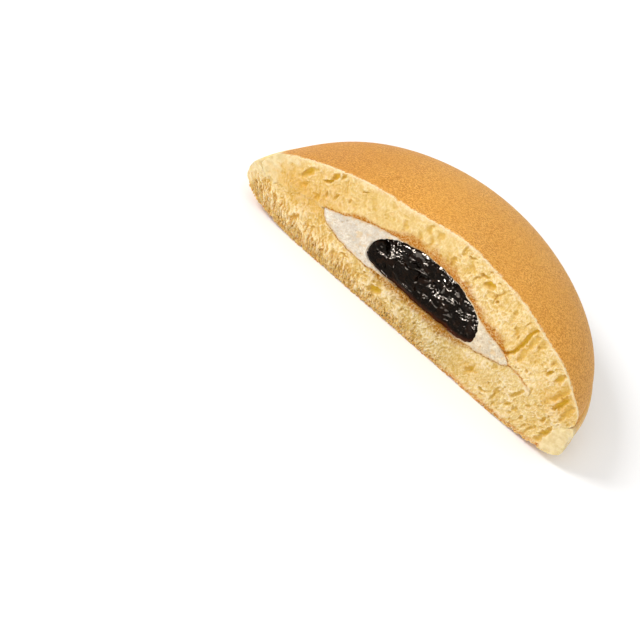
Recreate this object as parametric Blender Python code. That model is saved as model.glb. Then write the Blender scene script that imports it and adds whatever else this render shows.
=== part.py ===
"""Half of a filled pancake sandwich, cut through the middle and resting on its browned base.

Two soft round pancakes lie one on the other with their rims pressed together. Between them is a
lens of whipped cream with a blob of coffee jelly in its middle. The cut face stands upright and
looks along -Y, the food runs back along +Y, and +Z is up. Sizes are in millimetres until the
meshes are made; the origin is at the middle of the bounding box's underside.
"""
import math

import bmesh
import bpy
import numpy as np

MM = 0.001

# Outline seen from above
RIM_RADIUS = 47.5  # mean radius of the upper pancake's rim
RIM_OVAL = 0.0154  # how far the rim is oval, as a share of the radius
RIM_LOBES = 0.0244  # a slight three-sided unevenness
RIM_LOBES_TURN = -0.0055
LOWER_SPREAD = 1.9  # the lower pancake reaches this much further out
LOWER_SPREAD_TURN = -0.4  # less at its +X end, more at its -X end
LOWER_LEAN = 0.018  # its rim leans inward by this share of the radius
CUT_Y = 1.5  # the knife went this far beside the pancake's middle

# Upper pancake
DOME_HEIGHT = 32.0
DOME_POWER = 1.917
DOME_SHOULDER = 0.581
UPPER_NOSE_Z = 12.5  # height where the dome meets the upright rim
UPPER_NOSE_TILT = 0.0145
DOME_LEAN = 0.0727  # the dome's highest spot lies towards +X
SWELLS = (  # soft swells and dents of the dome, most of them left by the knife: x, y, rise, reach
    (-44.0, 1.5, 0.4, 6.0), (-10.0, 1.5, -0.6, 7.0), (6.5, 1.5, 0.8, 6.5), (32.5, 1.5, -0.7, 5.0),
    (50.0, 1.5, 2.0, 2.4), (-39.0, 12.0, -0.9, 11.0),
)

# Lower pancake
BASE_FLAT = 0.55  # share of the radius on which the base is flat
BASE_POWER = 2.0
BASE_SHOULDER = 0.395
LOWER_NOSE_Z = 6.5
LOWER_NOSE_TILT = -0.0283
LOWER_SHOULDER_Z = (9.9, 9.8)  # top of the lower rim at the -X and the +X end

# Seam between the two pancakes
GAP = 0.3
SEAM_Z = 13.7
SEAM_DIP = 4.1  # the upper pancake's lip hangs into the lower one near the rim
SEAM_TILT = 0.012
SEAM_FLAT = 0.62  # share of the radius where the seam starts to fall
SEAM_LOWEST = 0.93
SEAM_END = 1.03
SEAM_RISE = (1.3, 2.8)  # from its lowest place out to the rim, at -X and +X
GROOVE_START = 0.965
GROOVE_POWER = 3.0
GROOVE_UP = 0.8  # how far the upper pancake's underside lifts at its rim

# Coffee jelly
JELLY_X = 2.5
JELLY_RADIUS = 16.4
JELLY_EDGE_Z = 12.8
JELLY_TOP = 9.9
JELLY_BOTTOM = 2.9
JELLY_ROUND = 0.44
JELLY_ROUND_TILT = 0.07
JELLY_UNDER_POWER = 6.0
JELLY_UNDER_ROUND = 0.5
JELLY_EDGE_HALF = 0.5

# Cream
CREAM_X = 0.6
CREAM_RADIUS = 28.4
CREAM_FILM = 0.6  # cream above and below the jelly
CREAM_EDGE_HALF = 0.15
CREAM_BLEND = 0.3  # softens the line where the film meets the flanks
CREAM_RISE = (9.0, 5.4)  # at the -X and the +X side
CREAM_RISE_POWER = 2.2
CREAM_RISE_ROUND = (1.4, 0.55)
CREAM_DROP = 4.95  # the underside's depth at the -X side
CREAM_DROP_LESS = 1.35  # how much shallower it is at the +X side
CREAM_DROP_TURN = (-15.0, 11.0)  # where it starts to get shallower and over what reach
CREAM_DROP_POWER = (5.5, 2.6)
CREAM_DROP_ROUND = (0.65, 0.75)
CREAM_WEDGE = 14.0  # how steeply the pancakes close on each other outside the cream's edge

# Rounded corners where the cut face meets the rim: reach along X and depth
CORNER_RIGHT = (4.0, 0.6)
CORNER_LEFT = (3.0, 0.4)
CORNER_FADE_Z = (9.0, 16.5)  # shallower from here up
CORNER_LEAST = 0.4
CORNER_SOFTEN = 4.0

# Crumb relief on the cut face: large pores as x, z, radius and depth
BIG_PORES = (
    (-36.6, 17.6, 1.9, 1.0), (-30.7, 20.3, 1.8, 0.9), (-27.3, 19.3, 1.6, 0.8),
    (-7.9, 4.5, 1.7, 0.9), (-17.7, 6.3, 1.5, 0.7), (14.3, 28.5, 1.8, 0.9),
    (20.4, 26.2, 2.0, 0.9), (21.7, 4.5, 1.7, 0.9), (39.2, 20.4, 2.0, 1.0),
    (44.0, 15.1, 1.9, 1.0), (45.0, 6.7, 1.8, 0.9),
)
TEAR = ((27.1, 16.9), (29.6, 24.5))  # a slanting crack in the upper crumb
TEAR_WIDTH = 1.2
TEAR_DEPTH = 0.9
CRUMB_RIPPLE = 0.22
CRUMB_WAVES = ((1.31, 0.7), (-0.45, 1.17))  # radians per millimetre along x and z
JELLY_RIPPLE = 0.35
JELLY_WAVES = ((0.62, 0.5), (-0.3, 0.9))
CREAM_DENT = 0.15

# Upright outsides of the pancakes, as shares of the radius
UPPER_BULGE = 0.003
LOWER_BULGE = 0.004

# The tool that hollows the cream reaches this far in front of the cut
HOLLOW_FORWARD = 3.0

# Mesh density as spokes round the back, rings from the middle outward and rows upward
UPPER_STEPS = (34, 20, 6)
LOWER_STEPS = (34, 20, 5)
CREAM_STEPS = (24, 10, 2)
JELLY_STEPS = (20, 7, 4)
RING_EVEN = 0.6  # 1 spaces the rings evenly, less crowds them towards the rim
RELIEF_FADE_RINGS = 0.5  # the relief fades out over this many rings at the rim
ANGLE_TRIES = 20
ON_CUT = 0.01  # a point this close to the cut lies on it

# Looks: colour and roughness
UPPER_LOOK = ((0.80, 0.48, 0.16), 0.75)
LOWER_LOOK = ((0.86, 0.66, 0.32), 0.8)
CREAM_LOOK = ((0.85, 0.78, 0.66), 0.45)
JELLY_LOOK = ((0.02, 0.008, 0.004), 0.12)
SHARP_ANGLE = 35.0


def clear_scene():
    for item in list(bpy.data.objects):
        bpy.data.objects.remove(item, do_unlink=True)


def smooth_step(value):
    value = np.clip(value, 0.0, 1.0)
    return value * value * (3.0 - 2.0 * value)


def mix(pair, share):
    return pair[0] + (pair[1] - pair[0]) * share


def side_of(x, reach):
    """0 at the -X end, 1 at the +X end."""
    return 0.5 + 0.5 * np.clip(x / reach, -1.0, 1.0)


def rim(angle, spread=0.0):
    oval = RIM_OVAL * np.cos(2 * angle)
    lobes = RIM_LOBES * np.cos(3 * angle) + RIM_LOBES_TURN * np.sin(3 * angle)
    return (RIM_RADIUS + spread) * (1.0 + oval + lobes)


def lower_rim(angle):
    return rim(angle, LOWER_SPREAD + LOWER_SPREAD_TURN * np.cos(angle))


def share_out(x, y, rim_at=rim):
    """Distance from the pancake's middle as a share of the rim's distance."""
    return np.hypot(x, y) / rim_at(np.arctan2(y, x))


def dome_top(x, y):
    share = np.minimum(share_out(x, y), 1.0)
    nose = UPPER_NOSE_Z + UPPER_NOSE_TILT * x
    dome = (DOME_HEIGHT - UPPER_NOSE_Z) * (1.0 - share ** DOME_POWER) ** DOME_SHOULDER
    swell = sum(rise * np.exp(-((x - at_x) ** 2 + (y - at_y) ** 2) / reach ** 2)
                for at_x, at_y, rise, reach in SWELLS)
    return nose + dome + DOME_LEAN * x * (1.0 - share ** 2) + swell


def base_bottom(x, y):
    share = np.minimum(share_out(x, y, lower_rim), 1.0)
    nose = LOWER_NOSE_Z + LOWER_NOSE_TILT * x
    curl = np.clip((share - BASE_FLAT) / (1.0 - BASE_FLAT), 0.0, 1.0)
    return nose * (1.0 - (1.0 - curl ** BASE_POWER) ** BASE_SHOULDER)


def seam(x, y):
    share = share_out(x, y)
    fall = smooth_step((share - SEAM_FLAT) / (SEAM_LOWEST - SEAM_FLAT))
    rise = smooth_step((share - SEAM_LOWEST) / (SEAM_END - SEAM_LOWEST))
    rise = rise * mix(SEAM_RISE, side_of(x, RIM_RADIUS))
    return SEAM_Z + SEAM_TILT * x * (1.0 - fall) - SEAM_DIP * fall + rise


def groove(share):
    return np.clip((share - GROOVE_START) / (1.0 - GROOVE_START), 0.0, 1.0) ** GROOVE_POWER


def jelly_top(x, y, grow=0.0):
    share = np.minimum(np.hypot(x - JELLY_X, y) / (JELLY_RADIUS + grow), 1.0)
    power = JELLY_ROUND - JELLY_ROUND_TILT * np.clip((x - JELLY_X) / JELLY_RADIUS, -1.0, 1.0)
    rise = (JELLY_TOP - JELLY_EDGE_HALF + grow) * (1.0 - share ** 2) ** power
    return JELLY_EDGE_Z + JELLY_EDGE_HALF + rise


def jelly_bottom(x, y, grow=0.0):
    share = np.minimum(np.hypot(x - JELLY_X, y) / (JELLY_RADIUS + grow), 1.0)
    round_under = (1.0 - share ** JELLY_UNDER_POWER) ** JELLY_UNDER_ROUND
    drop = (JELLY_BOTTOM - JELLY_EDGE_HALF + grow) * round_under
    return JELLY_EDGE_Z - JELLY_EDGE_HALF - drop


def cream_share(x, y):
    return np.hypot(x - CREAM_X, y) / CREAM_RADIUS


def cream_top(x, y):
    """Flanks of the lens, and the thin film over the jelly, whichever is higher."""
    share = np.minimum(cream_share(x, y), 1.0)
    side = side_of(x - CREAM_X, CREAM_RADIUS)
    round_over = (1.0 - share ** CREAM_RISE_POWER) ** mix(CREAM_RISE_ROUND, side)
    flank = SEAM_Z + CREAM_EDGE_HALF + mix(CREAM_RISE, side) * round_over
    cover = jelly_top(x, y, GAP + CREAM_FILM)
    return 0.5 * (flank + cover + np.sqrt((flank - cover) ** 2 + CREAM_BLEND))


def cream_bottom(x, y):
    share = np.minimum(cream_share(x, y), 1.0)
    side = side_of(x - CREAM_X, CREAM_RADIUS)
    round_under = (1.0 - share ** mix(CREAM_DROP_POWER, side)) ** mix(CREAM_DROP_ROUND, side)
    start, reach = CREAM_DROP_TURN
    drop = CREAM_DROP - CREAM_DROP_LESS * smooth_step((x - start) / reach)
    flank = SEAM_Z - CREAM_EDGE_HALF - drop * round_under
    cover = jelly_bottom(x, y, GAP + CREAM_FILM)
    inside = np.hypot(x - JELLY_X, y) < JELLY_RADIUS + GAP + CREAM_FILM
    return np.where(inside, np.minimum(flank, cover), flank)


def upper_bottom(x, y):
    """The upper pancake's underside: over the cream, along the seam, then up to its rim."""
    beyond = np.maximum(cream_share(x, y) - 1.0, 0.0)
    over_cream = cream_top(x, y) + GAP - CREAM_WEDGE * beyond
    over_seam = seam(x, y) + GAP / 2 + GROOVE_UP * groove(share_out(x, y))
    return np.maximum(over_cream, over_seam)


def lower_top(x, y):
    beyond = np.maximum(cream_share(x, y) - 1.0, 0.0)
    under_cream = cream_bottom(x, y) - GAP + CREAM_WEDGE * beyond
    under_seam = seam(x, y) - GAP / 2
    shoulder = mix(LOWER_SHOULDER_Z, side_of(x, RIM_RADIUS))
    under_seam = under_seam - (under_seam - shoulder) * groove(share_out(x, y, lower_rim))
    return np.minimum(under_cream, under_seam)


def corner_depth(x, z, rim_x):
    """How far the cut face curves back where it meets the rim, at its +X and -X ends."""
    reach, depth = CORNER_RIGHT if rim_x > 0 else CORNER_LEFT
    along = np.clip((abs(x) - (abs(rim_x) - reach)) / reach, 0.0, 1.0)
    low, high = CORNER_FADE_Z
    fade = np.clip((high - z) / (high - low), CORNER_LEAST, 1.0)
    return depth * (1.0 - np.sqrt(1.0 - along ** 2)) * fade


def ripple(x, z, waves):
    (first_x, first_z), (second_x, second_z) = waves
    return np.sin(first_x * x + first_z * z) * np.sin(second_x * x + second_z * z)


def crumb_relief(x, z):
    """Depth of the pores and the tear in the cut crumb, never forward of the cut."""
    depth = CRUMB_RIPPLE * (1.0 + ripple(x, z, CRUMB_WAVES))
    for pore_x, pore_z, radius, deep in BIG_PORES:
        away = ((x - pore_x) ** 2 + (z - pore_z) ** 2) / radius ** 2
        depth = depth + deep * np.exp(-away)
    (ax, az), (bx, bz) = TEAR
    length2 = (bx - ax) ** 2 + (bz - az) ** 2
    along = np.clip(((x - ax) * (bx - ax) + (z - az) * (bz - az)) / length2, 0.0, 1.0)
    away = np.hypot(x - ax - along * (bx - ax), z - az - along * (bz - az))
    return depth + TEAR_DEPTH * np.exp(-(away / TEAR_WIDTH) ** 2)


def jelly_relief(x, z):
    return JELLY_RIPPLE * (1.0 + ripple(x, z, JELLY_WAVES))


def cream_relief(_x, _z):
    return CREAM_DENT


def no_relief(_x, _z):
    return 0.0


def rim_path(radius_at, middle_x, steps):
    """Rim points from the +X end of the cut round the back to its -X end."""
    angles = []
    for side in (1.0, -1.0):
        angle = 0.0 if side > 0 else math.pi
        for _ in range(ANGLE_TRIES):
            angle = math.asin(CUT_Y / radius_at(angle))
            angle = angle if side > 0 else math.pi - angle
        angles.append(angle)
    turn = np.linspace(angles[0], angles[1], steps + 1)
    radius = np.array([radius_at(angle) for angle in turn])
    points = np.stack([middle_x + radius * np.cos(turn), radius * np.sin(turn)], axis=1)
    points[0, 1] = CUT_Y
    points[-1, 1] = CUT_Y
    return points


def ring_shares(rings):
    even = np.linspace(0.0, 1.0, rings + 1)
    return RING_EVEN * even + (1.0 - RING_EVEN) * np.sin(even * math.pi / 2)


def half_solid(name, radius_at, middle_x, bottom, top, steps, relief,
               bulge=0.0, lean=0.0, corners=False):
    """A closed half solid between two surfaces, over the half outline that radius_at gives.

    Ring 0 is the upright line in the middle of the cut face. The cut face takes the first and the
    last spoke, and the relief there only pushes inward.
    """
    spokes, rings, rows = steps
    path = rim_path(radius_at, middle_x, spokes)
    shares = ring_shares(rings)
    mesh = bpy.data.meshes.new(name)
    build = bmesh.new()
    made = {}
    rim_x = (path[-1][0], path[0][0])

    def place(ring, spoke, row):
        spoke = 0 if ring == 0 else spoke
        key = (ring, spoke, row)
        if key in made:
            return made[key]
        share = shares[ring]
        x = middle_x + share * (path[spoke][0] - middle_x)
        y = CUT_Y + share * (path[spoke][1] - CUT_Y)
        low = float(bottom(x, y))
        high = float(top(x, y))
        level = row / rows
        z = low + level * (high - low)
        if ring == rings:
            out = 1.0 + bulge * math.sin(math.pi * level) - lean * level
            x = middle_x + out * (x - middle_x)
            y = CUT_Y + out * (y - CUT_Y)
        behind = y - CUT_Y
        if corners:
            end = rim_x[1] if x > 0 else rim_x[0]
            y = y + float(corner_depth(x, z, end)) * math.exp(-behind / CORNER_SOFTEN)
        if ring < rings and 0 < row < rows and spoke in (0, spokes):
            y = y + float(relief(x, z)) * min(1.0, (1.0 - share) * rings / RELIEF_FADE_RINGS)
        made[key] = build.verts.new((x * MM, y * MM, z * MM))
        return made[key]

    def face(*corners_of_face):
        unique = list(dict.fromkeys(corners_of_face))
        if len(unique) > 2:
            build.faces.new(unique)

    for spoke in range(spokes):
        for ring in range(rings):
            face(place(ring, spoke, rows), place(ring + 1, spoke, rows),
                 place(ring + 1, spoke + 1, rows), place(ring, spoke + 1, rows))
            face(place(ring, spoke + 1, 0), place(ring + 1, spoke + 1, 0),
                 place(ring + 1, spoke, 0), place(ring, spoke, 0))
        for row in range(rows):
            face(place(rings, spoke, row), place(rings, spoke + 1, row),
                 place(rings, spoke + 1, row + 1), place(rings, spoke, row + 1))
    for ring in range(rings):
        for row in range(rows):
            face(place(ring, 0, row), place(ring + 1, 0, row),
                 place(ring + 1, 0, row + 1), place(ring, 0, row + 1))
            face(place(ring + 1, spokes, row), place(ring, spokes, row),
                 place(ring, spokes, row + 1), place(ring + 1, spokes, row + 1))

    bmesh.ops.triangulate(build, faces=build.faces[:])
    build.to_mesh(mesh)
    build.free()
    item = bpy.data.objects.new(name, mesh)
    bpy.context.collection.objects.link(item)
    return item


def finish(item, look):
    colour, roughness = look
    material = bpy.data.materials.new(item.name)
    material.use_nodes = True
    shader = material.node_tree.nodes["Principled BSDF"]
    shader.inputs["Base Color"].default_value = (*colour, 1.0)
    shader.inputs["Roughness"].default_value = roughness
    shader.inputs["Metallic"].default_value = 0.0
    item.data.materials.clear()
    item.data.materials.append(material)
    item.data.shade_smooth()
    item.data.set_sharp_from_angle(angle=math.radians(SHARP_ANGLE))


def jelly_solid(name, grow, relief):
    """The jelly, or with grow the larger shape that hollows the cream for it."""
    def radius_at(_angle):
        return JELLY_RADIUS + grow

    def bottom(x, y):
        return jelly_bottom(x, y, grow)

    def top(x, y):
        return jelly_top(x, y, grow)

    return half_solid(name, radius_at, JELLY_X, bottom, top, JELLY_STEPS, relief)


def jelly_hollow():
    """The shape taken out of the cream, drawn forward so that it cuts cleanly through its face."""
    item = jelly_solid("jelly_hollow", GAP, no_relief)
    for vert in item.data.vertices:
        if vert.co.y < (CUT_Y + ON_CUT) * MM:
            vert.co.y -= HOLLOW_FORWARD * MM
    return item


def cream_radius(_angle):
    return CREAM_RADIUS


def add_upper_pancake():
    item = half_solid("upper_pancake", rim, 0.0, upper_bottom, dome_top, UPPER_STEPS,
                      crumb_relief, bulge=UPPER_BULGE, corners=True)
    finish(item, UPPER_LOOK)
    return item


def add_lower_pancake():
    item = half_solid("lower_pancake", lower_rim, 0.0, base_bottom, lower_top, LOWER_STEPS,
                      crumb_relief, bulge=LOWER_BULGE, lean=LOWER_LEAN, corners=True)
    finish(item, LOWER_LOOK)
    return item


def add_jelly():
    item = jelly_solid("coffee_jelly", 0.0, jelly_relief)
    finish(item, JELLY_LOOK)
    return item


def add_cream():
    item = half_solid("cream", cream_radius, CREAM_X, cream_bottom, cream_top, CREAM_STEPS,
                      cream_relief)
    hollow = jelly_hollow()
    cut = item.modifiers.new("hollow for the jelly", "BOOLEAN")
    cut.operation = "DIFFERENCE"
    cut.solver = "EXACT"
    cut.object = hollow
    bpy.context.view_layer.update()
    evaluated = item.evaluated_get(bpy.context.evaluated_depsgraph_get())
    hollowed = bpy.data.meshes.new_from_object(evaluated)
    item.modifiers.clear()
    item.data = hollowed
    bpy.data.objects.remove(hollow, do_unlink=True)
    finish(item, CREAM_LOOK)
    return item


def centre_on_base(items):
    """Move every mesh so that the origin is in the middle of the whole thing's underside."""
    points = np.array([vert.co[:] for item in items for vert in item.data.vertices])
    low = points.min(axis=0)
    high = points.max(axis=0)
    move = (-(low[0] + high[0]) / 2, -(low[1] + high[1]) / 2, -low[2])
    for item in items:
        for vert in item.data.vertices:
            vert.co.x += move[0]
            vert.co.y += move[1]
            vert.co.z += move[2]


def main():
    clear_scene()
    items = [add_upper_pancake(), add_lower_pancake(), add_cream(), add_jelly()]
    centre_on_base(items)


main()
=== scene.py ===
"""Looks of the cut half of a filled pancake sandwich: crust, open crumb, cream and coffee jelly.

Shapes are worked out in millimetres in the cake's own frame: X along the cut, Y back into the
food with the cut at CUT_Y, Z up from the table, and the pancake's middle at X = Y = 0. They are
moved into the model's frame when a mesh is made.
"""
import math

import bpy
import numpy as np
from mathutils import Matrix, Vector


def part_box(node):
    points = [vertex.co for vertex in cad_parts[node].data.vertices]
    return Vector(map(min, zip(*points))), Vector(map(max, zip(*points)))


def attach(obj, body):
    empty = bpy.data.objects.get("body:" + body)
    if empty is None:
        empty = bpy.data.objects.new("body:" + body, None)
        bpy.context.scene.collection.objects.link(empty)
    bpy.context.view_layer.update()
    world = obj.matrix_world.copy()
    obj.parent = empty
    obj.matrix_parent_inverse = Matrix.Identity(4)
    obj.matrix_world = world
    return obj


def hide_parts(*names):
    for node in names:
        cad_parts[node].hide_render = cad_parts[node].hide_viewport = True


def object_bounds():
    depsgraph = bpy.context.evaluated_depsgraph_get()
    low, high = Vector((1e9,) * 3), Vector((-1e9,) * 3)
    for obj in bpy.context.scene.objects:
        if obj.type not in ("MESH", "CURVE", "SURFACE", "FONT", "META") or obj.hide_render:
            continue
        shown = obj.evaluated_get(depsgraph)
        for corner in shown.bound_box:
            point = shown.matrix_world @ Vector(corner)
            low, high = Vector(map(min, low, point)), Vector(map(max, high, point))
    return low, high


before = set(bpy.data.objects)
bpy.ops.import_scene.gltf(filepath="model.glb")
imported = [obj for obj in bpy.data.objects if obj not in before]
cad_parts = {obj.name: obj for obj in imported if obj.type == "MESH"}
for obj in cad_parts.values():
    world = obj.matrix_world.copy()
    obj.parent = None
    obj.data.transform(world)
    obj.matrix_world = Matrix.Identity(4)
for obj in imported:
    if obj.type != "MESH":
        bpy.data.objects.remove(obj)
cad_low, cad_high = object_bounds()

MM = 0.001

# Outline and layers, as in the model
RIM_RADIUS = 47.5
RIM_OVAL = 0.0154
RIM_LOBES = 0.0244
RIM_LOBES_TURN = -0.0055
LOWER_SPREAD = 1.9
LOWER_SPREAD_TURN = -0.4
LOWER_LEAN = 0.018
CUT_Y = 1.5
DOME_HEIGHT = 32.0
DOME_POWER = 1.917
DOME_SHOULDER = 0.581
UPPER_NOSE_Z = 12.5
UPPER_NOSE_TILT = 0.0145
DOME_LEAN = 0.0727
SWELLS = (
    (-44.0, 1.5, 0.4, 6.0), (-10.0, 1.5, -0.6, 7.0), (6.5, 1.5, 0.8, 6.5), (32.5, 1.5, -0.7, 5.0),
    (50.0, 1.5, 2.0, 2.4), (-39.0, 12.0, -0.9, 11.0),
)
BASE_FLAT = 0.55
BASE_POWER = 2.0
BASE_SHOULDER = 0.395
LOWER_NOSE_Z = 6.5
LOWER_NOSE_TILT = -0.0283
LOWER_SHOULDER_Z = (9.9, 9.8)
SEAM_Z = 13.7
SEAM_DIP = 4.1
SEAM_TILT = 0.012
SEAM_FLAT = 0.62
SEAM_LOWEST = 0.93
SEAM_END = 1.03
SEAM_RISE = (1.3, 2.8)
GROOVE_START = 0.965
GROOVE_POWER = 3
GROOVE_UP = 0.8
JELLY_X = 2.5
JELLY_RADIUS = 16.4
JELLY_EDGE_Z = 12.8
JELLY_TOP = 9.9
JELLY_BOTTOM = 2.9
JELLY_ROUND = 0.44
JELLY_ROUND_TILT = 0.07
JELLY_UNDER_POWER = 6.0
JELLY_UNDER_ROUND = 0.5
JELLY_EDGE_HALF = 0.5
CREAM_X = 0.6
CREAM_RADIUS = 28.4
CREAM_FILM = 0.25
CREAM_FILM_LOW = 0.1
CREAM_EDGE_HALF = 0.15
CREAM_BLEND = 0.3  # softens the line where the film meets the flanks
CREAM_RISE = (9.0, 5.4)
CREAM_RISE_POWER = 2.2
CREAM_RISE_ROUND = (1.4, 0.55)
CREAM_DROP = 4.95
CREAM_DROP_LESS = 1.35
CREAM_DROP_TURN = (-15.0, 11.0)
CREAM_DROP_POWER = (5.5, 2.6)
CREAM_DROP_ROUND = (0.65, 0.75)
CREAM_WEDGE = 14.0
CORNER_RIGHT = (4.0, 0.6)
CORNER_LEFT = (3.0, 0.4)
CORNER_FADE_Z = (9.0, 16.5)
CORNER_LEAST = 0.4
CORNER_SOFTEN = 4.0

# The shown surfaces close the gap that the solids keep, and stay just inside their box
SEAM_LAP = 0.06
JELLY_GROW = 0.13
INSET = 0.12
TOP_INSET = 0.05
SHARP_ANGLE = math.radians(62)

# Steps of the meshes: spokes round the back, rings from the middle outward, rows upward
UPPER_STEPS = (72, 260, 92)
LOWER_STEPS = (72, 260, 80)
CREAM_STEPS = (60, 170, 80)
JELLY_STEPS = (60, 110, 90)
UPPER_BULGE = 0.003
LOWER_BULGE = 0.004
SPOKES_EVEN = 0.06  # 1 spaces them evenly, less crowds them near the cut
RINGS_EVEN = 0.75  # 1 spaces them evenly, less crowds them towards the rim
ANGLE_TRIES = 20

# View of the photograph: degrees, then the place of the target in the picture
VIEW_AZIMUTH = 15.2388
VIEW_ELEVATION = 37.6283
VIEW_ROLL = 31.5162
VIEW_DISTANCE = 556.367
VIEW_TARGET = (0.0, 0.0, 14.0)
TARGET_PIXEL = (409.23, 286.55)
PICTURE_SIZE = 640
PIXELS_PER_MM = 4.34593
SENSOR = 36.0


def smooth_step(value):
    value = np.clip(value, 0.0, 1.0)
    return value * value * (3.0 - 2.0 * value)


def rising(value, start, reach):
    """Goes smoothly from 0 at the start to 1 a reach further on."""
    return smooth_step((value - start) / reach)


def falling(value, end, reach):
    """Goes smoothly from 1 to 0 over the reach before the end."""
    return smooth_step((end - value) / reach)


def hill(value, middle, reach):
    """1 at the middle, fading to both sides."""
    return np.exp(-((value - middle) / reach) ** 2)


def mix(pair, share):
    return pair[0] + (pair[1] - pair[0]) * share


def side_of(x, reach):
    return 0.5 + 0.5 * np.clip(x / reach, -1.0, 1.0)


# Shapes of the layers

def rim(angle, spread=0.0):
    oval = RIM_OVAL * np.cos(2 * angle)
    lobes = RIM_LOBES * np.cos(3 * angle) + RIM_LOBES_TURN * np.sin(3 * angle)
    return (RIM_RADIUS + spread - INSET) * (1.0 + oval + lobes)


def lower_rim(angle):
    return rim(angle, LOWER_SPREAD + LOWER_SPREAD_TURN * np.cos(angle))


def share_out(x, y, rim_at=rim):
    return np.hypot(x, y) / rim_at(np.arctan2(y, x))


def dome_top(x, y):
    share = np.minimum(share_out(x, y), 1.0)
    nose = UPPER_NOSE_Z + UPPER_NOSE_TILT * x
    dome = (DOME_HEIGHT - UPPER_NOSE_Z) * (1.0 - share ** DOME_POWER) ** DOME_SHOULDER
    swell = sum(rise * np.exp(-((x - at_x) ** 2 + (y - at_y) ** 2) / reach ** 2)
                for at_x, at_y, rise, reach in SWELLS)
    return nose + dome + DOME_LEAN * x * (1.0 - share ** 2) + swell - TOP_INSET


def base_bottom(x, y):
    share = np.minimum(share_out(x, y, lower_rim), 1.0)
    nose = LOWER_NOSE_Z + LOWER_NOSE_TILT * x
    curl = np.clip((share - BASE_FLAT) / (1.0 - BASE_FLAT), 0.0, 1.0)
    return nose * (1.0 - (1.0 - curl ** BASE_POWER) ** BASE_SHOULDER)


def seam(x, y):
    share = share_out(x, y)
    fall = rising(share, SEAM_FLAT, SEAM_LOWEST - SEAM_FLAT)
    rise = rising(share, SEAM_LOWEST, SEAM_END - SEAM_LOWEST)
    rise = rise * mix(SEAM_RISE, side_of(x, RIM_RADIUS))
    return SEAM_Z + SEAM_TILT * x * (1.0 - fall) - SEAM_DIP * fall + rise


def groove(share):
    return np.clip((share - GROOVE_START) / (1.0 - GROOVE_START), 0.0, 1.0) ** GROOVE_POWER


def jelly_share(x, y, grow):
    return np.minimum(np.hypot(x - JELLY_X, y) / (JELLY_RADIUS + grow), 1.0)


def jelly_power(x):
    return JELLY_ROUND - JELLY_ROUND_TILT * np.clip((x - JELLY_X) / JELLY_RADIUS, -1.0, 1.0)


def jelly_top(x, y, grow=JELLY_GROW):
    rise = (JELLY_TOP - JELLY_EDGE_HALF + grow) * (1.0 - jelly_share(x, y, grow) ** 2) ** jelly_power(x)
    return JELLY_EDGE_Z + JELLY_EDGE_HALF + rise


def jelly_bottom(x, y, grow=JELLY_GROW):
    round_under = (1.0 - jelly_share(x, y, grow) ** JELLY_UNDER_POWER) ** JELLY_UNDER_ROUND
    return JELLY_EDGE_Z - JELLY_EDGE_HALF - (JELLY_BOTTOM - JELLY_EDGE_HALF + grow) * round_under


def jelly_back(x, z):
    """How far back the jelly reaches behind a point of the cut plane, 0 outside its outline."""
    reach = JELLY_RADIUS + JELLY_GROW
    above = (z - JELLY_EDGE_Z - JELLY_EDGE_HALF) / (JELLY_TOP - JELLY_EDGE_HALF + JELLY_GROW)
    below = (JELLY_EDGE_Z - JELLY_EDGE_HALF - z) / (JELLY_BOTTOM - JELLY_EDGE_HALF + JELLY_GROW)
    over = 1.0 - np.clip(above, 0.0, 1.0) ** (1.0 / jelly_power(x))
    under = 1.0 - np.clip(below, 0.0, 1.0) ** (1.0 / JELLY_UNDER_ROUND)
    share2 = np.where(above > 0, over, np.maximum(under, 0.0) ** (2.0 / JELLY_UNDER_POWER))
    share2 = np.where((above > 1.0) | (below > 1.0), 0.0, share2)
    return np.sqrt(np.maximum(share2 * reach ** 2 - (x - JELLY_X) ** 2, 0.0))


def cream_share(x, y):
    return np.hypot(x - CREAM_X, y) / CREAM_RADIUS


def cream_top(x, y):
    share = np.minimum(cream_share(x, y), 1.0)
    side = side_of(x - CREAM_X, CREAM_RADIUS)
    rise = mix(CREAM_RISE, side) * (1.0 - share ** CREAM_RISE_POWER) ** mix(CREAM_RISE_ROUND, side)
    flank = SEAM_Z + CREAM_EDGE_HALF + rise
    cover = jelly_top(x, y, JELLY_GROW + CREAM_FILM)
    return 0.5 * (flank + cover + np.sqrt((flank - cover) ** 2 + CREAM_BLEND))


def cream_bottom(x, y):
    share = np.minimum(cream_share(x, y), 1.0)
    side = side_of(x - CREAM_X, CREAM_RADIUS)
    drop = (1.0 - share ** mix(CREAM_DROP_POWER, side)) ** mix(CREAM_DROP_ROUND, side)
    height = CREAM_DROP - CREAM_DROP_LESS * rising(x, *CREAM_DROP_TURN)
    flank = SEAM_Z - CREAM_EDGE_HALF - height * drop
    grow = JELLY_GROW + CREAM_FILM_LOW
    inside = np.hypot(x - JELLY_X, y) < JELLY_RADIUS + grow
    return np.where(inside, np.minimum(flank, jelly_bottom(x, y, grow)), flank)


def upper_bottom(x, y):
    beyond = np.maximum(cream_share(x, y) - 1.0, 0.0)
    over_cream = cream_top(x, y) - CREAM_WEDGE * beyond
    over_seam = seam(x, y) + GROOVE_UP * groove(share_out(x, y))
    return np.maximum(over_cream, over_seam)


def lower_top(x, y):
    beyond = np.maximum(cream_share(x, y) - 1.0, 0.0)
    under_cream = cream_bottom(x, y) + CREAM_WEDGE * beyond
    under_seam = seam(x, y) + SEAM_LAP
    shoulder = mix(LOWER_SHOULDER_Z, side_of(x, RIM_RADIUS))
    under_seam = under_seam - (under_seam - shoulder) * groove(share_out(x, y, lower_rim))
    return np.minimum(under_cream, under_seam)


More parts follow.
